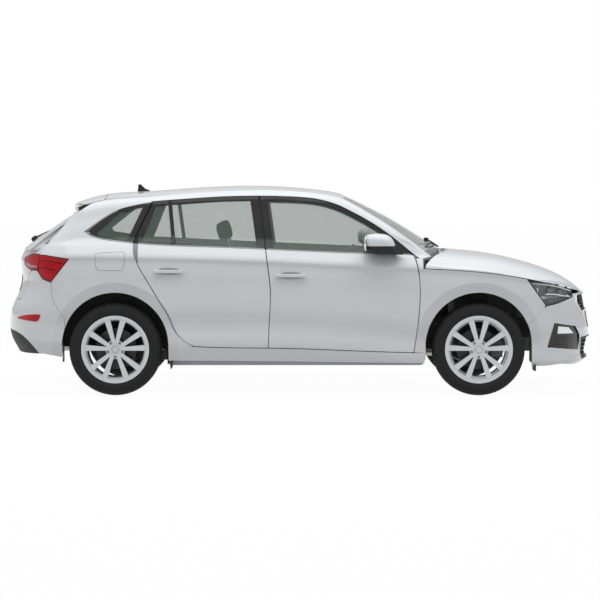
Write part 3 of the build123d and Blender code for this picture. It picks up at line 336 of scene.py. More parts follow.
# ---------------------------------------------------------------- materials
class Shader:
    """A material whose colour, roughness and relief come from nodes."""

    def __init__(self, name):
        self.material = bpy.data.materials.new(name)
        self.material.use_nodes = True
        self.nodes = self.material.node_tree.nodes
        self.links = self.material.node_tree.links
        self.surface = self.nodes["Principled BSDF"]
        self.place = self.nodes.new("ShaderNodeTexCoord").outputs["Object"]
        self.axes = self.nodes.new("ShaderNodeSeparateXYZ")
        self.links.new(self.place, self.axes.inputs[0])

    def put(self, socket, value):
        if isinstance(value, bpy.types.NodeSocket):
            self.links.new(value, socket)
        else:
            socket.default_value = value

    def noise(self, scale, detail=3.0, stretch=None):
        place = self.place
        if stretch:
            fit = self.nodes.new("ShaderNodeVectorMath")
            fit.operation = "MULTIPLY"
            self.put(fit.inputs[0], place)
            fit.inputs[1].default_value = stretch
            place = fit.outputs[0]
        node = self.nodes.new("ShaderNodeTexNoise")
        self.put(node.inputs["Vector"], place)
        node.inputs["Scale"].default_value = scale
        node.inputs["Detail"].default_value = detail
        return node.outputs["Fac"]

    def math(self, operation, a, b=0.0):
        node = self.nodes.new("ShaderNodeMath")
        node.operation = operation
        self.put(node.inputs[0], a)
        self.put(node.inputs[1], b)
        return node.outputs[0]

    def span(self, value, low, high, to_low, to_high):
        node = self.nodes.new("ShaderNodeMapRange")
        self.put(node.inputs["Value"], value)
        for socket, number in zip(("From Min", "From Max", "To Min", "To Max"), (low, high, to_low, to_high)):
            node.inputs[socket].default_value = number
        return node.outputs["Result"]

    def mix(self, share, a, b):
        node = self.nodes.new("ShaderNodeMix")
        node.data_type = "RGBA"
        self.put(node.inputs["Factor"], share)
        self.put(node.inputs[6], a)
        self.put(node.inputs[7], b)
        return node.outputs[2]

    def curve(self, value, points):
        """A smooth function of a value from 0 to 1, with results from 0 to 1."""
        node = self.nodes.new("ShaderNodeFloatCurve")
        line = node.mapping.curves[0]
        line.points[0].location = points[0]
        line.points[1].location = points[-1]
        for x, y in points[1:-1]:
            line.points.new(x, y)
        node.mapping.update()
        self.put(node.inputs["Value"], value)
        return node.outputs["Value"]

    def height_over(self, line):
        """The height of a line over this point's x, which lies inside the line's own stretch."""
        (x0, x1) = (line[0][0], line[-1][0])
        low, high = min(z for _, z in line), max(z for _, z in line)
        share = self.span(self.axes.outputs["X"], x0, x1, 0, 1)
        result = self.curve(share, [((x - x0) / (x1 - x0), (z - low) / (high - low)) for x, z in line])
        return self.span(result, 0, 1, low, high)

    def over(self, line):
        """1 above a line and 0 below it."""
        return self.math("GREATER_THAN", self.axes.outputs["Z"], self.height_over(line))

    def inward(self):
        """1 on surfaces that face the car's middle."""
        coordinates = self.nodes.new("ShaderNodeTexCoord")
        split = self.nodes.new("ShaderNodeSeparateXYZ")
        self.links.new(coordinates.outputs["Normal"], split.inputs[0])
        facing = self.math("MULTIPLY", split.outputs["Y"], self.math("SIGN", self.axes.outputs["Y"]))
        return self.math("LESS_THAN", facing, -0.25)

    def arch_flange(self):
        """How far the band round each wheel arch lies inside the side, as a height in metres."""
        x = self.math("ABSOLUTE", self.math("SUBTRACT", self.axes.outputs["X"], AXLE_MIDDLE))
        x = self.math("SUBTRACT", x, AXLE_HALF)
        z = self.math("SUBTRACT", self.axes.outputs["Z"], ARCH_HEIGHT)
        square = self.math("ADD", self.math("MULTIPLY", x, x), self.math("MULTIPLY", z, z))
        return self.span(self.math("SQRT", square), ARCH_INNER, ARCH_OUTER, -ARCH_DEPTH, 0.0)

    def relief(self, height, strength, depth):
        node = self.nodes.new("ShaderNodeBump")
        node.inputs["Strength"].default_value = strength
        node.inputs["Distance"].default_value = depth
        self.put(node.inputs["Height"], height)
        self.links.new(node.outputs["Normal"], self.surface.inputs["Normal"])

    def set(self, **values):
        for name, value in values.items():
            self.put(self.surface.inputs[name.replace("_", " ")], value)
        return self


def shade(colour, by):
    """A colour made lighter or darker."""
    return tuple(min(1.0, c * by) for c in colour[:3]) + (1.0,)


def finish(name, colour, rough, metal=0.0, vary=0.08, vary_scale=9.0, grain=None, rough_vary=0.06, **more):
    """A material with colour and gloss that vary a little and a fine grain (scale, strength, depth)."""
    shader = Shader(name)
    patches = shader.noise(vary_scale)
    tone = shader.span(patches, 0.3, 0.7, 0, 1)
    gloss = shader.span(shader.noise(vary_scale * 4), 0.3, 0.7, rough - rough_vary / 2, rough + rough_vary / 2)
    colours = shader.mix(tone, shade(colour, 1 - vary), shade(colour, 1 + vary))
    shader.set(Base_Color=colours, Roughness=gloss, Metallic=metal)
    if grain:
        scale, strength, depth = grain
        shader.relief(shader.noise(scale, 2.0), strength, depth)
    shader.set(**more)
    return shader.material


WHITE = (0.80, 0.815, 0.835)
TRIM_BLACK = (0.012, 0.012, 0.013)
CABIN_DARK = (0.045, 0.045, 0.048)


def body_paint(name, black_above=None, black_below=None, lined=False, black_rough=0.0):
    """White clear-coated paint, black above one line and below another, and lined inside."""
    shader = Shader(name)
    tone = shader.span(shader.noise(3.0), 0.3, 0.7, 0, 1)
    colour = shader.mix(tone, shade(WHITE, 0.985), shade(WHITE, 1.015))
    rough = shader.span(shader.noise(14.0), 0.3, 0.7, 0.10, 0.15)
    mask = None
    if black_above:
        mask = shader.over(black_above)
    if black_below:
        under = shader.math("SUBTRACT", 1.0, shader.over(black_below))
        mask = shader.math("MULTIPLY", mask, under) if mask else under
    coat = 0.35
    if mask:
        colour = shader.mix(mask, colour, TRIM_BLACK + (1,))
        rough = shader.math("ADD", rough, shader.math("MULTIPLY", mask, black_rough))
        coat = shader.span(mask, 0, 1, 0.35, 0.0)
    if lined:
        inside = shader.inward()
        cloth = shader.mix(shader.noise(900.0), shade(CABIN_DARK, 0.85), shade(CABIN_DARK, 1.15))
        colour = shader.mix(inside, colour, cloth)
        rough = shader.math("ADD", rough, shader.math("MULTIPLY", inside, 0.45))
    grain = shader.math("MULTIPLY", shader.noise(1400.0, 1.0), 0.000008)
    shader.relief(shader.math("ADD", grain, shader.arch_flange()), 1.0, 1.0)
    shader.set(Base_Color=colour, Roughness=rough, Coat_Weight=coat, Coat_Roughness=0.03)
    return shader.material


def tinted_glass(name, colour, alpha, rough=0.03):
    """Thin glass: tinted, partly clear and polished."""
    shader = Shader(name)
    smear = shader.span(shader.noise(5.0), 0.3, 0.7, rough, rough + 0.02)
    tone = shader.mix(shader.noise(2.0), shade(colour, 0.92), shade(colour, 1.08))
    shader.set(Base_Color=tone, Roughness=smear, Alpha=alpha, Specular_IOR_Level=0.9)
    return shader.material


def weave(name, colour, accent, scale=520.0):
    """Woven seat cloth with threads both ways and a sheen."""
    shader = Shader(name)
    threads = []
    for axis in ("X", "Y", "Z"):
        wave = shader.math("SINE", shader.math("MULTIPLY", shader.axes.outputs[axis], scale * 2))
        threads.append(shader.math("ABSOLUTE", wave))
    cloth = shader.math("MULTIPLY", shader.math("ADD", threads[0], threads[1]), shader.math("ADD", threads[2], 0.3))
    fluff = shader.noise(60.0)
    shader.relief(cloth, 0.35, 0.0006)
    shader.set(Base_Color=shader.mix(fluff, colour + (1,), accent + (1,)),
               Roughness=shader.span(fluff, 0.3, 0.7, 0.8, 0.95),
               Sheen_Weight=0.25)
    return shader.material


def tyre_rubber():
    """Dark rubber with a fine grain and patches of dust."""
    shader = Shader("tyre_rubber")
    dust = shader.noise(30.0)
    shader.relief(shader.noise(700.0, 2.0), 0.15, 0.0006)
    shader.set(Base_Color=shader.mix(dust, (0.016, 0.016, 0.017, 1), (0.032, 0.032, 0.032, 1)),
               Roughness=shader.span(dust, 0.3, 0.7, 0.62, 0.8), Specular_IOR_Level=0.22)
    return shader.material


def sill_flange():
    """Underbody coat, with the sides' own paint along the outer edges of the floor."""
    shader = Shader("floor_coat")
    dust = shader.noise(22.0)
    across = shader.math("ABSOLUTE", shader.axes.outputs["Y"])
    inner = shader.span(across, FLOOR_PAINT_Y - 0.02, FLOOR_PAINT_Y, 1, 0)
    pale = shader.mix(dust, (0.58, 0.60, 0.63, 1), (0.62, 0.64, 0.67, 1))
    shader.relief(shader.noise(180.0, 2.0), 0.3, 0.001)
    shader.set(Base_Color=shader.mix(inner, pale, (0.045, 0.045, 0.050, 1)),
               Roughness=shader.span(inner, 0, 1, 0.35, 0.75))
    return shader.material


def rim_metal():
    """Silver on the face of a wheel, and painted shade, near black, on what lies behind its spokes."""
    shader = Shader("rim_metal")
    tone = shader.noise(40.0)
    depth = shader.math("ABSOLUTE", shader.axes.outputs["Y"])
    # Painted shade: behind the face of the spokes the rim turns near black and less metallic.
    shade_behind_spokes = shader.span(depth, RIM_FACE_Y, RIM_FACE_Y + 0.006, 1, 0)
    silver = shader.mix(tone, (0.72, 0.725, 0.735, 1), (0.78, 0.785, 0.795, 1))
    shader.set(Base_Color=shader.mix(shade_behind_spokes, silver, (0.030, 0.030, 0.032, 1)),
               Roughness=shader.span(tone, 0.3, 0.7, 0.30, 0.38),
               Metallic=shader.span(shade_behind_spokes, 0, 1, 0.45, 0.2))
    return shader.material


paint = body_paint("paint_plain")
door_paint = body_paint("paint_door", black_above=BELT, lined=True)
frame_paint = body_paint("paint_side", black_above=BELT, black_below=RAIL, lined=True)
rear_bumper_paint = body_paint("paint_rear_bumper", black_below=DIFFUSER, black_rough=0.5)
roof_paint = body_paint("paint_roof")
gloss_black = finish("gloss_black", TRIM_BLACK, 0.10, vary=0.1, grain=(900.0, 0.02, 0.0003))
grained_black = finish("grained_black", (0.018, 0.018, 0.019), 0.55, vary=0.12, grain=(1300.0, 0.35, 0.0005),
                       Specular_IOR_Level=0.3)
chrome = finish("bright_trim", (0.72, 0.73, 0.74), 0.16, metal=1.0, vary=0.03, grain=(800.0, 0.02, 0.0002))
alloy = finish("alloy_silver", (0.62, 0.63, 0.645), 0.30, metal=0.75, vary=0.04, grain=(1500.0, 0.05, 0.0002))
cast = finish("castings", (0.13, 0.13, 0.135), 0.62, metal=0.4, vary=0.2, vary_scale=20.0,
              grain=(260.0, 0.5, 0.0012))
underbody = finish("underbody_coat", (0.05, 0.05, 0.055), 0.75, vary=0.2, grain=(180.0, 0.5, 0.0015))
cabin_plastic = finish("cabin_plastic", CABIN_DARK, 0.55, vary=0.1, grain=(1100.0, 0.35, 0.0005))
leather = finish("wheel_leather", (0.02, 0.02, 0.02), 0.42, vary=0.15, grain=(420.0, 0.35, 0.0006))
dull_steel = finish("dull_steel", (0.42, 0.40, 0.37), 0.42, metal=0.9, vary=0.2, vary_scale=14.0,
                    grain=(300.0, 0.15, 0.0005))
rubber = tyre_rubber()
rim_silver_and_shade = rim_metal()
satin_trim = finish("satin_trim", (0.24, 0.245, 0.25), 0.34, metal=0.9, vary=0.05, grain=(700.0, 0.03, 0.0002))
# Mid grey: painted shade in the door handle cups, and the reversing lamps' own lens colour.
grey_lens_and_cup_shade = finish("handle_cup", (0.42, 0.43, 0.45), 0.3, vary=0.1, grain=(900.0, 0.02, 0.0003))
seat_cloth = weave("seat_cloth", (0.05, 0.05, 0.053), (0.085, 0.085, 0.09))
window_glass = tinted_glass("window_glass", (0.20, 0.27, 0.23), 0.24)
screen_glass = tinted_glass("screen_glass", (0.15, 0.19, 0.17), 0.30)
lamp_cover = tinted_glass("lamp_cover", (0.35, 0.36, 0.38), 0.16)
red_lens = finish("red_lens", (0.56, 0.003, 0.010), 0.16, vary=0.14, vary_scale=30.0, grain=(260.0, 0.30, 0.0015),
                  Specular_IOR_Level=0.22)
dark_red = finish("dark_red_lens", (0.17, 0.003, 0.006), 0.18, vary=0.15, vary_scale=30.0, Specular_IOR_Level=0.22)
lens_unit = finish("lens_unit", (0.20, 0.21, 0.23), 0.20, metal=0.7, vary=0.2, vary_scale=60.0)
lamp_dark = finish("lamp_inside", (0.19, 0.195, 0.20), 0.25, metal=0.6, vary=0.45, vary_scale=55.0,
                   grain=(260.0, 0.3, 0.0012))
lamp_bright = finish("lamp_guide", (0.90, 0.91, 0.93), 0.22, vary=0.03, Emission_Color=(1, 1, 1, 1),
                     Emission_Strength=0.25)
mirror_glass = finish("mirror_glass", (0.75, 0.77, 0.78), 0.03, metal=1.0, vary=0.01, rough_vary=0.01)
blank_plate = finish("blank_plate", (0.72, 0.72, 0.70), 0.35, vary=0.02, grain=(700.0, 0.05, 0.0003))

SLOT_MATERIAL = {
    "paint": paint, "glass": window_glass, "black_gloss": gloss_black, "black_plastic": grained_black, "lamp_clear": lamp_cover,
    "lamp_red": red_lens, "underbody": underbody, "interior": cabin_plastic, "leather": leather, "seat_fabric": seat_cloth,
    "castings": cast, "exhaust_steel": dull_steel, "tyre": rubber, "alloy": alloy,
}
SLOT_FOR = {material.name: slot for slot, material in SLOT_MATERIAL.items()}
for slot, others in (("alloy", (chrome, satin_trim)), ("lamp_clear", (lamp_bright, lens_unit, mirror_glass)),
                     ("black_gloss", (lamp_dark, grey_lens_and_cup_shade)), ("lamp_red", (dark_red,)), ("paint", (blank_plate,))):
    for material in others:
        SLOT_FOR[material.name] = slot
NODE_MATERIAL = {"floor_pan": sill_flange(), "roof": roof_paint, "rear_bumper": rear_bumper_paint,
                 "windscreen": screen_glass, "tailgate_glass": screen_glass}
for side in SIDES:
    NODE_MATERIAL |= {f"door_front_{side}": door_paint, f"door_rear_{side}": door_paint}
    NODE_MATERIAL[f"side_frame_{side}"] = frame_paint
    NODE_MATERIAL |= {f"rim_front_{side}": rim_silver_and_shade, f"rim_rear_{side}": rim_silver_and_shade}
for name, node in NODES.items():
    node.data.materials.clear()
    node.data.materials.append(NODE_MATERIAL.get(name, SLOT_MATERIAL[SLOT_OF[name]]))


# ---------------------------------------------------------------- side trim
MOULDING_WIDTH, MOULDING_LIFT = 0.010, 0.003


def belt_mouldings(side):
    """The satin strip under the side windows, cut at the doors, and round the rear window."""
    runs = {f"front_door_{side}": (f"door_front_{side}", -0.236, 0.800),
            f"rear_door_{side}": (f"door_rear_{side}", -1.178, -0.262)}
    for body, (node, start, end) in runs.items():
        look = from_side(skin(node), SIDES[side])
        line = [(x, height_on(BELT, x) + 0.004) for x in (start + (end - start) * k / 30 for k in range(31))]
        trim = strip(line, look, MOULDING_WIDTH, -0.002, MOULDING_LIFT)
        piece(f"belt_moulding_{body}", *trim, satin_trim, body)
    look = from_side(skin(f"side_frame_{side}"), SIDES[side])
    line = [(x, height_on(BELT, x) + 0.004) for x in (-1.214, -1.26, -1.32, -1.38, -1.43)]
    line += [(-1.48, 1.153), (-1.524, 1.168), (-1.553, 1.188), (-1.545, 1.207)]
    line += [(-1.505, 1.242), (-1.450, 1.283), (-1.38, 1.326), (-1.335, 1.347)]
    trim = strip(smooth(line, 5), look, MOULDING_WIDTH, -0.002, MOULDING_LIFT)
    piece(f"quarter_moulding_{side}", *trim, satin_trim, "body")


def glass_divider(side):
    """The upright bar in the rear door's window."""
    look = from_side(skin(f"door_glass_rear_{side}", f"door_rear_{side}"), SIDES[side])
    line = [(-0.921 - 0.035 * k / 8, 1.105 + 0.312 * k / 8) for k in range(9)]
    bar = strip(line, look, 0.028, -0.003, 0.007)
    piece(f"window_bar_{side}", *bar, gloss_black, f"rear_door_{side}")


def fuel_flap():
    """The thin gap round the fuel flap, on the right side."""
    corners = [(-1.482, 0.914, 0.02), (-1.285, 0.914, 0.02), (-1.271, 1.052, 0.02), (-1.496, 1.040, 0.02)]
    outline = []
    for i, (x, z, _) in enumerate(corners):
        before, after = Vector(corners[i - 1][:2]), Vector(corners[(i + 1) % 4][:2])
        here = Vector((x, z))
        a = here.lerp(before, 0.035 / (before - here).length)
        b = here.lerp(after, 0.035 / (after - here).length)
        outline += [a.lerp(here, t).lerp(here.lerp(b, t), t) for t in (0, 0.25, 0.5, 0.75, 1)]
    look = from_side(skin("side_frame_right"), -1)
    gap = loop(straight(outline, 0.01), look, 0.003, -0.002, 0.0004)
    piece("fuel_flap_gap", *gap, grained_black, "body")


def handle_cups(side):
    """Shallow grey cups behind the outer door handles, painted shade for their recesses."""
    for door, x, z, reach in (("front", -0.070, 0.878, 0.898), ("rear", -0.955, 0.908, 0.892)):
        look = from_side(skin(f"door_{door}_{side}"), SIDES[side], reach)
        turns = [2 * math.pi * k / 24 for k in range(24)]
        outline = [(x + 0.098 * math.cos(turn), z + 0.026 * math.sin(turn)) for turn in turns]
        cup = plate(outline, look, -0.002, 0.0012)
        piece(f"handle_cup_{door}_{side}", *cup, grey_lens_and_cup_shade, f"{door}_door_{side}")


def bumper_reflector(side):
    """The red reflector in the rear bumper's corner."""
    look = from_side(skin("rear_bumper"), SIDES[side])
    corners = [(-2.088, 0.559), (-2.03, 0.577), (-1.97, 0.586), (-1.902, 0.588), (-1.908, 0.562),
               (-1.928, 0.537), (-2.0, 0.540), (-2.085, 0.548)]
    outline = smooth(corners, 2, closed=True)
    piece(f"reflector_{side}", *plate(outline, look, -0.003, 0.003), red_lens, "body")


def air_flaps(side):
    """The small black flaps that turn the air ahead of the wheels."""
    flaps = [moved(slab((0.010, 0.19, depth), 0.012), Matrix.Translation((x, SIDES[side] * 0.775, z)))
             for x, z, depth in ((-0.940, 0.222, 0.05), (1.712, 0.205, 0.05))]
    piece(f"air_flaps_{side}", *joined(flaps), grained_black, "body")


def spoiler_wedge(side):
    """The black panel at the end of the roof spoiler."""
    look = from_side(skin("tailgate"), SIDES[side])
    outline = [(-1.640, 1.390), (-1.620, 1.318), (-1.596, 1.314), (-1.550, 1.334), (-1.500, 1.358),
               (-1.446, 1.394)]
    piece(f"spoiler_end_{side}", *plate(outline, look, -0.003, 0.004), gloss_black, "tailgate")


# ---------------------------------------------------------------- mirrors
def door_mirror(side):
    """A mirror housing: white cap over a black base, on a foot, with its glass facing back."""
    sign = SIDES[side]
    body = f"front_door_{side}"
    centre = Vector((0.565, sign * 0.918, 1.108))
    rings = 14
    around = 28
    caps = {"cap": ([], []), "base": ([], [])}
    split = 0.16
    for part, (corners, faces) in caps.items():
        low, high = ((-split, 1.0) if part == "cap" else (-1.0, -split))
        levels = [low + (high - low) * i / rings for i in range(rings + 1)]
        for level in levels:
            wide = max(1 - abs(level) ** 2.6, 0.0) ** (1 / 2.6)
            for k in range(around):
                angle = 2 * math.pi * k / around
                c, s = math.cos(angle), math.sin(angle)
                x = math.copysign(abs(c) ** 0.72, c) * (0.105 if c < 0 else 0.115)
                y = math.copysign(abs(s) ** 0.8, s) * 0.106
                forward = 0.022 * level
                corners.append(centre + Vector((x * wide + 0.004 - forward, sign * y * wide, level * 0.078)))
        for i in range(rings):
            for k in range(around):
                m = (k + 1) % around
                faces.append((i * around + k, i * around + m, (i + 1) * around + m, (i + 1) * around + k))
        faces.append(tuple(range(around)))
        faces.append(tuple(rings * around + k for k in range(around)))
    cap = piece(f"mirror_cap_{side}", *caps["cap"], paint, body)
    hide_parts(f"mirror_{side}")
    piece(f"mirror_base_{side}", *caps["base"], grained_black, body)
    route = ((0.605, 0.93, 1.056), (0.660, 0.885, 1.052), (0.705, 0.835, 1.046))
    foot = [Vector((x, sign * y, z)) for x, y, z in route]
    outs = [Vector((0, 0, 1))] * 3
    section = [(-0.06, -0.014), (0.06, -0.014), (0.068, 0), (0.06, 0.014), (-0.06, 0.014), (-0.068, 0)]
    piece(f"mirror_foot_{side}", *sweep(foot, outs, section), grained_black, body)
    glass_part = slab((0.006, 0.165, 0.105), 0.03)
    turn = Matrix.Translation(centre + Vector((-0.100, 0, 0.002))) @ Matrix.Rotation(math.pi, 4, "Z")
    piece(f"mirror_glass_{side}", *moved(glass_part, turn), mirror_glass, body)


# ---------------------------------------------------------------- lamps and grille
def headlamp_inside(side):
    """The dark bowl, bright guides and lens units inside a headlamp."""
    look = from_side(skin("headlamps"), SIDES[side])
    middle = Vector((1.88, 0.745))
    shrunk = [Vector(p).lerp(middle, 0.04) for p in HEADLAMP]
    bowl = plate(straight(shrunk, 0.03), look, -0.050, -0.040)
    piece(f"headlamp_bowl_{side}", *bowl, lamp_dark, "body")
    top = [(1.700, 0.818), (1.791, 0.807), (1.885, 0.790), (1.979, 0.762), (2.004, 0.752)]
    mid = [(1.800, 0.738), (1.870, 0.735), (1.940, 0.722), (2.003, 0.712)]
    guides = [strip(smooth(line, 6), look, 0.007, -0.012, -0.004) for line in (top, mid)]
    piece(f"headlamp_guides_{side}", *joined(guides), lamp_bright, "body")
    units = []
    for x, z in ((1.850, 0.768), (1.935, 0.750)):
        point, out = look(x, z)
        turn = Matrix.Translation(point - out * 0.040) @ out.to_track_quat("Y", "Z").to_matrix().to_4x4()
        ball = lathe([(0.0001, -0.004), (0.030, -0.004), (0.031, 0.010), (0.026, 0.014), (0.024, 0.018),
                      (0.014, 0.026), (0.0001, 0.028)], 32)
        units.append(moved(ball, turn))
    piece(f"headlamp_units_{side}", *joined(units), lens_unit, "body")
    fins = []
    for k in range(16):
        x = 1.735 + 0.016 * k
        line = [(x, 0.700 + 0.0016 * k), (x + 0.012, 0.724 - 0.0006 * k)]
        fins.append(strip(line, look, 0.006, -0.030, -0.018))
    piece(f"headlamp_fins_{side}", *joined(fins), chrome, "body")
    edge = loop(straight(shrunk, 0.02), look, 0.006, -0.006, 0.0008)
    piece(f"headlamp_edge_{side}", *edge, gloss_black, "body")


def tail_lamp_inside(side):
    """Dark bands and the edge of a tail lamp."""
    look = from_side(skin("tail_lamps", "tailgate_lamps"), SIDES[side])
    bands = [strip(smooth(line, 5), look, 0.010, -0.002, 0.0012)
             for line in ([(-1.905, 0.985), (-1.80, 0.975), (-1.735, 0.962)],
                          [(-1.895, 0.935), (-1.845, 0.925), (-1.780, 0.915)])]
    piece(f"tail_lamp_bands_{side}", *joined(bands), dark_red, "body")
    edge = [(-1.905, 1.020), (-1.865, 1.020), (-1.690, 0.996), (-1.817, 0.832), (-1.882, 0.855), (-1.915, 0.905)]
    rim = strip(straight(edge, 0.02, closed=False), look, 0.007, -0.003, 0.001)
    piece(f"tail_lamp_edge_{side}", *rim, gloss_black, "body")
    look = from_side(skin("tailgate_lamps"), SIDES[side])
    edge = [(-1.925, 0.916), (-1.984, 0.916), (-2.014, 0.932), (-2.034, 0.950), (-2.036, 0.992),
            (-1.977, 1.021), (-1.900, 1.021)]
    rim = strip(straight(edge, 0.02, closed=False), look, 0.007, -0.003, 0.001)
    piece(f"tailgate_lamp_edge_{side}", *rim, gloss_black, "tailgate")
    low = [(-2.020, 0.950), (-1.985, 0.938), (-1.935, 0.937)]
    lens = strip(smooth(low, 5), look, 0.013, -0.003, 0.001)
    piece(f"reversing_lamp_{side}", *lens, grey_lens_and_cup_shade, "tailgate", "lamp_clear")


def grille_trim():
    """The bright frame round the upper grille and the black one round the lower."""
    look = from_end(skin("front_bumper", "grille"), 1)
    ring = straight(mirrored([(0.440, 0.596), (0.508, 0.668), (0.478, 0.720)]), 0.03)
    piece("grille_frame", *loop(ring, look, 0.014, -0.004, 0.007), chrome, "body")
    bars = []
    for k in range(-17, 18):
        line = [(k * 0.025, z) for z in (0.606, 0.655, 0.710)]
        bars.append(strip(line, from_end(skin("grille"), 1), 0.004, -0.004, 0.006))
    piece("grille_ribs", *joined(bars), gloss_black, "body")
    ring = straight(mirrored([(0.426, 0.246), (0.476, 0.403)]), 0.03)
    edge = loop(ring, look, 0.010, -0.004, 0.004)
    piece("lower_grille_frame", *edge, grained_black, "body")


def fog_lamp(side):
    """Black ribs in the pocket and a lens in bright trim metal."""
    look = from_side(skin("fog_lamps"), SIDES[side])
    lens = [(1.890, 0.499), (1.975, 0.487), (2.018, 0.440), (1.885, 0.446)]
    piece(f"fog_lens_{side}", *plate(straight(lens, 0.02), look, -0.002, 0.004), chrome, "body", "lamp_clear")
    ribs = []
    for k in range(5):
        z = 0.345 + 0.019 * k
        ribs.append(strip([(1.865, z + 0.004), (1.95, z), (2.060, z)], look, 0.004, -0.002, 0.004))
    piece(f"fog_ribs_{side}", *joined(ribs), grained_black, "body")


def number_plates():
    """Thin blank plates that follow the bumper and the tailgate."""
    layers = (("holder", 0.266, 0.062, -0.003, 0.003, grained_black),
              ("plate", 0.258, 0.054, 0.003, 0.0045, blank_plate))
    places = (("front", 1, "body", "front_bumper", 0.530), ("rear", -1, "tailgate", "tailgate", 0.800))
    for name, end, body, node, z in places:
        look = from_end(skin(node), end)
        for part, half, tall, low, high, material in layers:
            corners = [(-half, z - tall), (half, z - tall), (half, z + tall), (-half, z + tall)]
            piece(f"{part}_{name}", *plate(straight(corners, 0.05), look, low, high, 0.06), material, body)


# Turns a part made about Y so that its axis stands up.
UPRIGHT = Matrix.Rotation(math.pi / 2, 4, "X")


# ---------------------------------------------------------------- wipers
def wipers():
    """Two front wipers at rest and the rear one with its round cap."""
    look = from_above(skin("windscreen", "cowl", "hood"))
    parts = []
    for y0, y1, pivot in ((0.60, 0.02, 0.50), (0.06, -0.48, -0.08)):
        blade = []
        for k in range(13):
            y = y0 + (y1 - y0) * k / 12
            blade.append((1.010 - 0.10 * (y / 0.7) ** 2, y))
        parts.append(strip(blade, look, 0.010, 0.001, 0.012))
        arm = []
        for k in range(9):
            y = pivot + ((y0 + y1) / 2 - pivot) * k / 8
            arm.append((1.045 - 0.10 * (y / 0.7) ** 2 - 0.033 * k / 8, y))
        parts.append(strip(arm, look, 0.016, 0.006, 0.018))
        point, _ = look(*arm[0])
        parts.append(moved(disc(0.018, -0.01, 0.022, 0.006), Matrix.Translation(point) @ UPRIGHT))
    piece("front_wipers", *joined(parts), grained_black, "body")
    search = skin("tailgate", "tailgate_glass")
    look = from_end(search, -1)
    point, out = look(0, 1.110)
    turn = Matrix.Translation(point) @ out.to_track_quat("Y", "Z").to_matrix().to_4x4()
    knob = moved(disc(0.026, -0.012, 0.036, 0.010), turn)
    arm = strip([(0.36 * k / 10, 1.112 + 0.045 * k / 10) for k in range(11)], look, 0.015, 0.014, 0.026)
    blade = strip([(0.10 + 0.33 * k / 10, 1.148 + 0.012 * k / 10) for k in range(11)], look, 0.010, 0.002, 0.015)
    piece("rear_wiper", *joined([knob, arm, blade]), grained_black, "tailgate")


# ---------------------------------------------------------------- wheels
TYRE_STEPS = 180


def tyre_profile():
    """Half of a tyre's closed (radius, y) section, mirrored: sidewall rings, shoulder blocks and three grooves."""
    outer = [(0.2248, 0.0800), (0.2475, 0.0865), (0.2515, 0.0985), (0.2600, 0.1015), (0.2740, 0.1060),
             (0.2760, 0.1073), (0.2790, 0.1073), (0.2810, 0.1060), (0.2900, 0.1060), (0.3050, 0.1035),
             (0.3170, 0.0975), (0.3260, 0.0890), (0.3320, 0.0810),
             (0.3350, 0.0720), (0.3365, 0.0620), (0.3372, 0.0545), (0.3300, 0.0530), (0.3300, 0.0450), (0.3374, 0.0435),
             (0.3378, 0.0210), (0.3300, 0.0195), (0.3300, 0.0095), (0.3379, 0.0080)]
    inner = [(0.2248, 0.0680), (0.2800, 0.0920), (0.3160, 0.0730), (0.3190, 0.0)]
    left = [(r, -y) for r, y in outer[::-1]]
    back = [(r, -y) for r, y in inner[:3]]
    return outer + left + back + inner[::-1]


def wheel_details(end, side):
    """A grooved tyre, wheel bolts and a blank centre cap."""
    sign = SIDES[side]
    body = f"{end}_wheel_{side}"
    low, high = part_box(f"tyre_{end}_{side}")
    centre = (low + high) / 2
    profile = tyre_profile()
    shoulder = {k for k, (r, y) in enumerate(profile) if 0.326 <= r and abs(y) > 0.055 and k < 46}
    blocks = {k for k, (r, y) in enumerate(profile) if r > 0.3373 and abs(y) > 0.019 and k < 46}

    def groove(turn, k):
        if k in shoulder and turn % 3 == 0:
            return 0.006
        if k in blocks and turn % 6 == 1:
            return 0.005
        return 0.0

    rubber_part = moved(lathe(profile, TYRE_STEPS, groove), Matrix.Translation(centre))
    made = piece(f"tyre_tread_{end}_{side}", *rubber_part, rubber, body)
    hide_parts(f"tyre_{end}_{side}")
    search = skin(f"rim_{end}_{side}")
    hub_point, _ = meet(search, (centre.x, sign * 1.3, centre.z), (0, -sign, 0))
    turn = Matrix.Translation(hub_point) @ Matrix.Rotation(0 if sign > 0 else math.pi, 4, "Z")
    cap = moved(disc(0.027, -0.004, 0.004, 0.003, 40), turn)
    ring = moved(lathe([(0.027, 0.0005), (0.031, 0.0005), (0.031, 0.0045), (0.027, 0.0045)], 40), turn)
    piece(f"hub_cap_{end}_{side}", *joined([cap, ring]), alloy, body)
    bolts = []
    for k in range(5):
        angle = math.radians(54 + 72 * k)
        x, z = centre.x + 0.056 * math.cos(angle), centre.z + 0.056 * math.sin(angle)
        point, _ = meet(search, (x, sign * 1.3, z), (0, -sign, 0))
        place = Matrix.Translation(point) @ Matrix.Rotation(0 if sign > 0 else math.pi, 4, "Z")
        head = lathe([(0.0001, -0.002), (0.0095, -0.002), (0.0095, 0.009), (0.0075, 0.011), (0.005, 0.011),
                      (0.005, 0.005), (0.0001, 0.005)], 6)
        bolts.append(moved(head, place))
    piece(f"wheel_bolts_{end}_{side}", *joined(bolts), dull_steel, body)


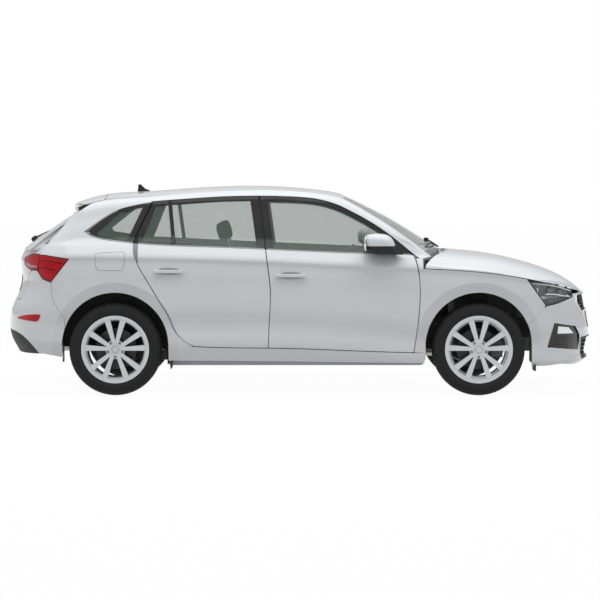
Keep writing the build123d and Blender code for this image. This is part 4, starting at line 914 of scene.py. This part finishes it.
# ---------------------------------------------------------------- seats and cabin
def pad(size, crown=0.12, bolster=0.0, channels=(), cuts=22):
    """A padded block about the origin: crowned, its sides pulled in, with raised side rolls and sewn channels."""
    made = bmesh.new()
    bmesh.ops.create_cube(made, size=2)
    bmesh.ops.subdivide_edges(made, edges=made.edges[:], cuts=cuts, use_grid_fill=True)
    power = 4.5
    corners = []
    for vert in made.verts:
        u, v, w = vert.co
        most = max(abs(u), abs(v), abs(w))
        fit = most / (abs(u) ** power + abs(v) ** power + abs(w) ** power) ** (1 / power)
        u, v, w = u * fit, v * fit, w * fit
        plump = 1 + crown * (1 - u * u) * (1 - v * v) - crown * 0.5
        side_roll = bolster * max(0.0, min(1.0, (abs(v) - 0.55) / 0.3)) ** 1.5 if w > 0 else 0.0
        sewn = sum(0.10 * math.exp(-(((u - at) / 0.035) ** 2)) for at in channels) if w > 0 else 0.0
        sewn += 0.08 * math.exp(-(((abs(v) - 0.56) / 0.03) ** 2)) if w > 0 and bolster else 0.0
        x = u * (1 - 0.03 * (1 - v * v))
        y = v * (1 - 0.03 * (1 - u * u))
        corners.append(Vector((x * size[0] / 2, y * size[1] / 2, (w * plump - sewn) * size[2] / 2 + side_roll)))
    made.verts.index_update()
    faces = [tuple(vert.index for vert in face.verts) for face in made.faces]
    made.free()
    return corners, faces


def placed(part, x, y, z, lean):
    """A part set down and leant back by an angle in degrees."""
    return moved(part, Matrix.Translation((x, y, z)) @ Matrix.Rotation(math.radians(-lean), 4, "Y"))


def upright(part, x, y, z, lean):
    """A pad turned to stand, its crowned face forward."""
    stand = Matrix.Rotation(math.radians(90), 4, "Y")
    return moved(part, Matrix.Translation((x, y, z)) @ Matrix.Rotation(math.radians(-lean), 4, "Y") @ stand)


def front_seat(side):
    """A front seat: cushion, backrest and headrest with side rolls and sewn channels, on a plastic base."""
    y = SIDES[side] * 0.360
    base = moved(slab((0.40, 0.36, 0.15), 0.03), Matrix.Translation((-0.10, y, 0.335)))
    seat = placed(pad((0.50, 0.47, 0.125), bolster=0.022, channels=(-0.35, 0.0, 0.35)), -0.080, y, 0.460, 8)
    back = upright(pad((0.64, 0.46, 0.125), bolster=0.024, channels=(-0.4, -0.1, 0.2)), -0.430, y, 0.780, 18)
    head = upright(pad((0.145, 0.24, 0.08), crown=0.2, cuts=14), -0.575, y, 1.185, 16)
    cushion = piece(f"front_seat_cushion_{side}", *seat, seat_cloth, "body")
    piece(f"front_seat_back_{side}", *back, seat_cloth, "body")
    piece(f"front_headrest_{side}", *head, seat_cloth, "body")
    posts = [pipe([Vector((-0.497, y + off, 1.02)), Vector((-0.570, y + off, 1.17))], 0.006) for off in (-0.06, 0.06)]
    piece(f"headrest_posts_{side}", *joined(posts), chrome, "body")
    piece(f"front_seat_base_{side}", *base, cabin_plastic, "body")
    return cushion


def rear_bench():
    """The rear bench: cushion and backrest with three places and three headrests."""
    seat = placed(pad((0.51, 1.16, 0.135), channels=(-0.3, 0.2), cuts=30), -0.760, 0, 0.526, 6)
    back = upright(pad((0.55, 1.16, 0.125), channels=(-0.4, 0.0, 0.4), cuts=30), -1.080, 0, 0.780, 20)
    cushion = piece("rear_cushion", *seat, seat_cloth, "body")
    piece("rear_backrest", *back, seat_cloth, "body")
    posts = []
    for name, y in (("left", 0.38), ("middle", 0.0), ("right", -0.38)):
        head = upright(pad((0.105, 0.235, 0.072), crown=0.2, cuts=12), -1.205, y, 1.100, 18)
        piece(f"rear_headrest_{name}", *head, seat_cloth, "body")
        posts += [pipe([Vector((-1.145, y + off, 0.98)), Vector((-1.200, y + off, 1.09))], 0.006) for off in (-0.05, 0.05)]
    piece("rear_headrest_posts", *joined(posts), chrome, "body")
    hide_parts("rear_bench")


def cabin():
    """Instrument hood, screen, air vents, gear lever, armrest and parcel shelf."""
    hood = moved(slab((0.16, 0.34, 0.07), 0.03), Matrix.Translation((0.600, 0.360, 1.005)))
    piece("instrument_hood", *hood, cabin_plastic, "body")
    screen = placed(slab((0.016, 0.24, 0.14), 0.012), 0.520, 0, 1.020, -12)
    piece("centre_screen", *moved(screen, Matrix.Identity(4)), gloss_black, "body")
    vents = []
    for y in (-0.62, -0.16, 0.16, 0.62):
        vents.append(placed(slab((0.02, 0.11, 0.05), 0.012), 0.512, y, 0.915, -10))
    piece("air_vents", *joined(vents), gloss_black, "body")
    lever = pipe([Vector((0.20, 0, 0.62)), Vector((0.20, 0, 0.68)), Vector((0.185, 0, 0.735))], 0.009)
    knob = moved(disc(0.026, -0.03, 0.03, 0.018), Matrix.Translation((0.182, 0, 0.750)) @ UPRIGHT)
    piece("gear_lever", *joined([lever, knob]), leather, "body")
    armrest = moved(pad((0.30, 0.17, 0.09), cuts=12), Matrix.Translation((-0.05, 0, 0.655)))
    piece("centre_armrest", *armrest, leather, "body")
    shelf = moved(slab((0.46, 1.04, 0.02), 0.03), Matrix.Translation((-1.46, 0, 1.06)))
    piece("parcel_shelf", *shelf, cabin_plastic, "body")


# ---------------------------------------------------------------- floor, light and camera
def any_ray(tree, *kinds):
    """A factor that is 1 for rays of any of some kinds."""
    path = tree.nodes.new("ShaderNodeLightPath")
    factor = path.outputs[kinds[0]]
    for kind in kinds[1:]:
        either = tree.nodes.new("ShaderNodeMath")
        either.operation = "MAXIMUM"
        tree.links.new(factor, either.inputs[0])
        tree.links.new(path.outputs[kind], either.inputs[1])
        factor = either.outputs[0]
    return factor


def mixed(tree, factor, first, second):
    """Two shaders mixed by a factor, which is a number or a socket."""
    node = tree.nodes.new("ShaderNodeMixShader")
    if isinstance(factor, float):
        node.inputs["Fac"].default_value = factor
    else:
        tree.links.new(factor, node.inputs["Fac"])
    tree.links.new(first.outputs[0], node.inputs[1])
    tree.links.new(second.outputs[0], node.inputs[2])
    return node


def grey(level):
    return (level, level, level, 1)


def floor():
    """A pale floor that looks white, with the faintest shadow."""
    bpy.ops.mesh.primitive_plane_add(size=120, location=(0, 0, 0))
    plane = bpy.context.object
    plane.name = "floor"
    material = bpy.data.materials.new("pale_floor")
    material.use_nodes = True
    tree = material.node_tree
    tree.nodes.clear()
    shown = tree.nodes.new("ShaderNodeEmission")
    lit = tree.nodes.new("ShaderNodeBsdfDiffuse")
    pale = tree.nodes.new("ShaderNodeBsdfDiffuse")
    lit.inputs["Color"].default_value = grey(0.95)
    pale.inputs["Color"].default_value = grey(0.42)
    seen = any_ray(tree, "Is Camera Ray", "Is Glossy Ray", "Is Transmission Ray")
    pick = mixed(tree, seen, pale, mixed(tree, 1 - FLOOR_SHADOW, lit, shown))
    output = tree.nodes.new("ShaderNodeOutputMaterial")
    tree.links.new(pick.outputs[0], output.inputs["Surface"])
    plane.data.materials.append(material)


def light():
    """A soft sky, brighter above, behind a background that is white to the eye, and one lamp overhead."""
    world = bpy.data.worlds.new("studio")
    bpy.context.scene.world = world
    world.use_nodes = True
    tree = world.node_tree
    tree.nodes.clear()
    place = tree.nodes.new("ShaderNodeTexCoord")
    split = tree.nodes.new("ShaderNodeSeparateXYZ")
    span = tree.nodes.new("ShaderNodeMapRange")
    sky = tree.nodes.new("ShaderNodeBackground")
    white = tree.nodes.new("ShaderNodeBackground")
    tree.links.new(place.outputs["Generated"], split.inputs[0])
    tree.links.new(split.outputs["Z"], span.inputs["Value"])
    for name, value in zip(("From Min", "From Max", "To Min", "To Max"), (-0.1, 0.9, *SKY_LEVELS)):
        span.inputs[name].default_value = value
    tree.links.new(span.outputs["Result"], sky.inputs["Strength"])
    sky.inputs["Color"].default_value = (0.97, 0.985, 1.0, 1)
    white.inputs["Color"].default_value = grey(1)
    pick = mixed(tree, any_ray(tree, "Is Camera Ray", "Is Transmission Ray"), sky, white)
    output = tree.nodes.new("ShaderNodeOutputWorld")
    tree.links.new(pick.outputs[0], output.inputs["Surface"])
    lamp = bpy.data.lights.new("overhead", "AREA")
    lamp.shape = "RECTANGLE"
    lamp.size, lamp.size_y = 9.0, 5.0
    lamp.energy = LAMP_WATTS
    above = bpy.data.objects.new("overhead", lamp)
    above.location = (0, -1.5, 5.5)
    bpy.context.scene.collection.objects.link(above)


def camera():
    """The photograph's view: from the right, well back, a little above the roof."""
    lens = bpy.data.cameras.new("camera")
    lens.sensor_width = 36.0
    lens.lens = lens.sensor_width * FOCAL_LENGTH / PICTURE
    lens.shift_x = 0.005
    lens.clip_end = 200
    view = bpy.data.objects.new("camera", lens)
    view.location = (-0.0235, -18.45, 1.60)
    view.rotation_euler = (math.radians(90 - LOOK_DOWN), 0, 0)
    bpy.context.scene.collection.objects.link(view)
    bpy.context.scene.camera = view


camera()
light()
floor()
bpy.context.scene.view_settings.view_transform = "Standard"
for side in SIDES:
    belt_mouldings(side)
    glass_divider(side)
    bumper_reflector(side)
    handle_cups(side)
    air_flaps(side)
    spoiler_wedge(side)
    door_mirror(side)
    headlamp_inside(side)
    tail_lamp_inside(side)
    fog_lamp(side)
    for end in ("front", "rear"):
        wheel_details(end, side)
fuel_flap()
grille_trim()
number_plates()
wipers()
seats = [front_seat(side) for side in SIDES]
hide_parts("front_seats")
rear_bench()
cabin()
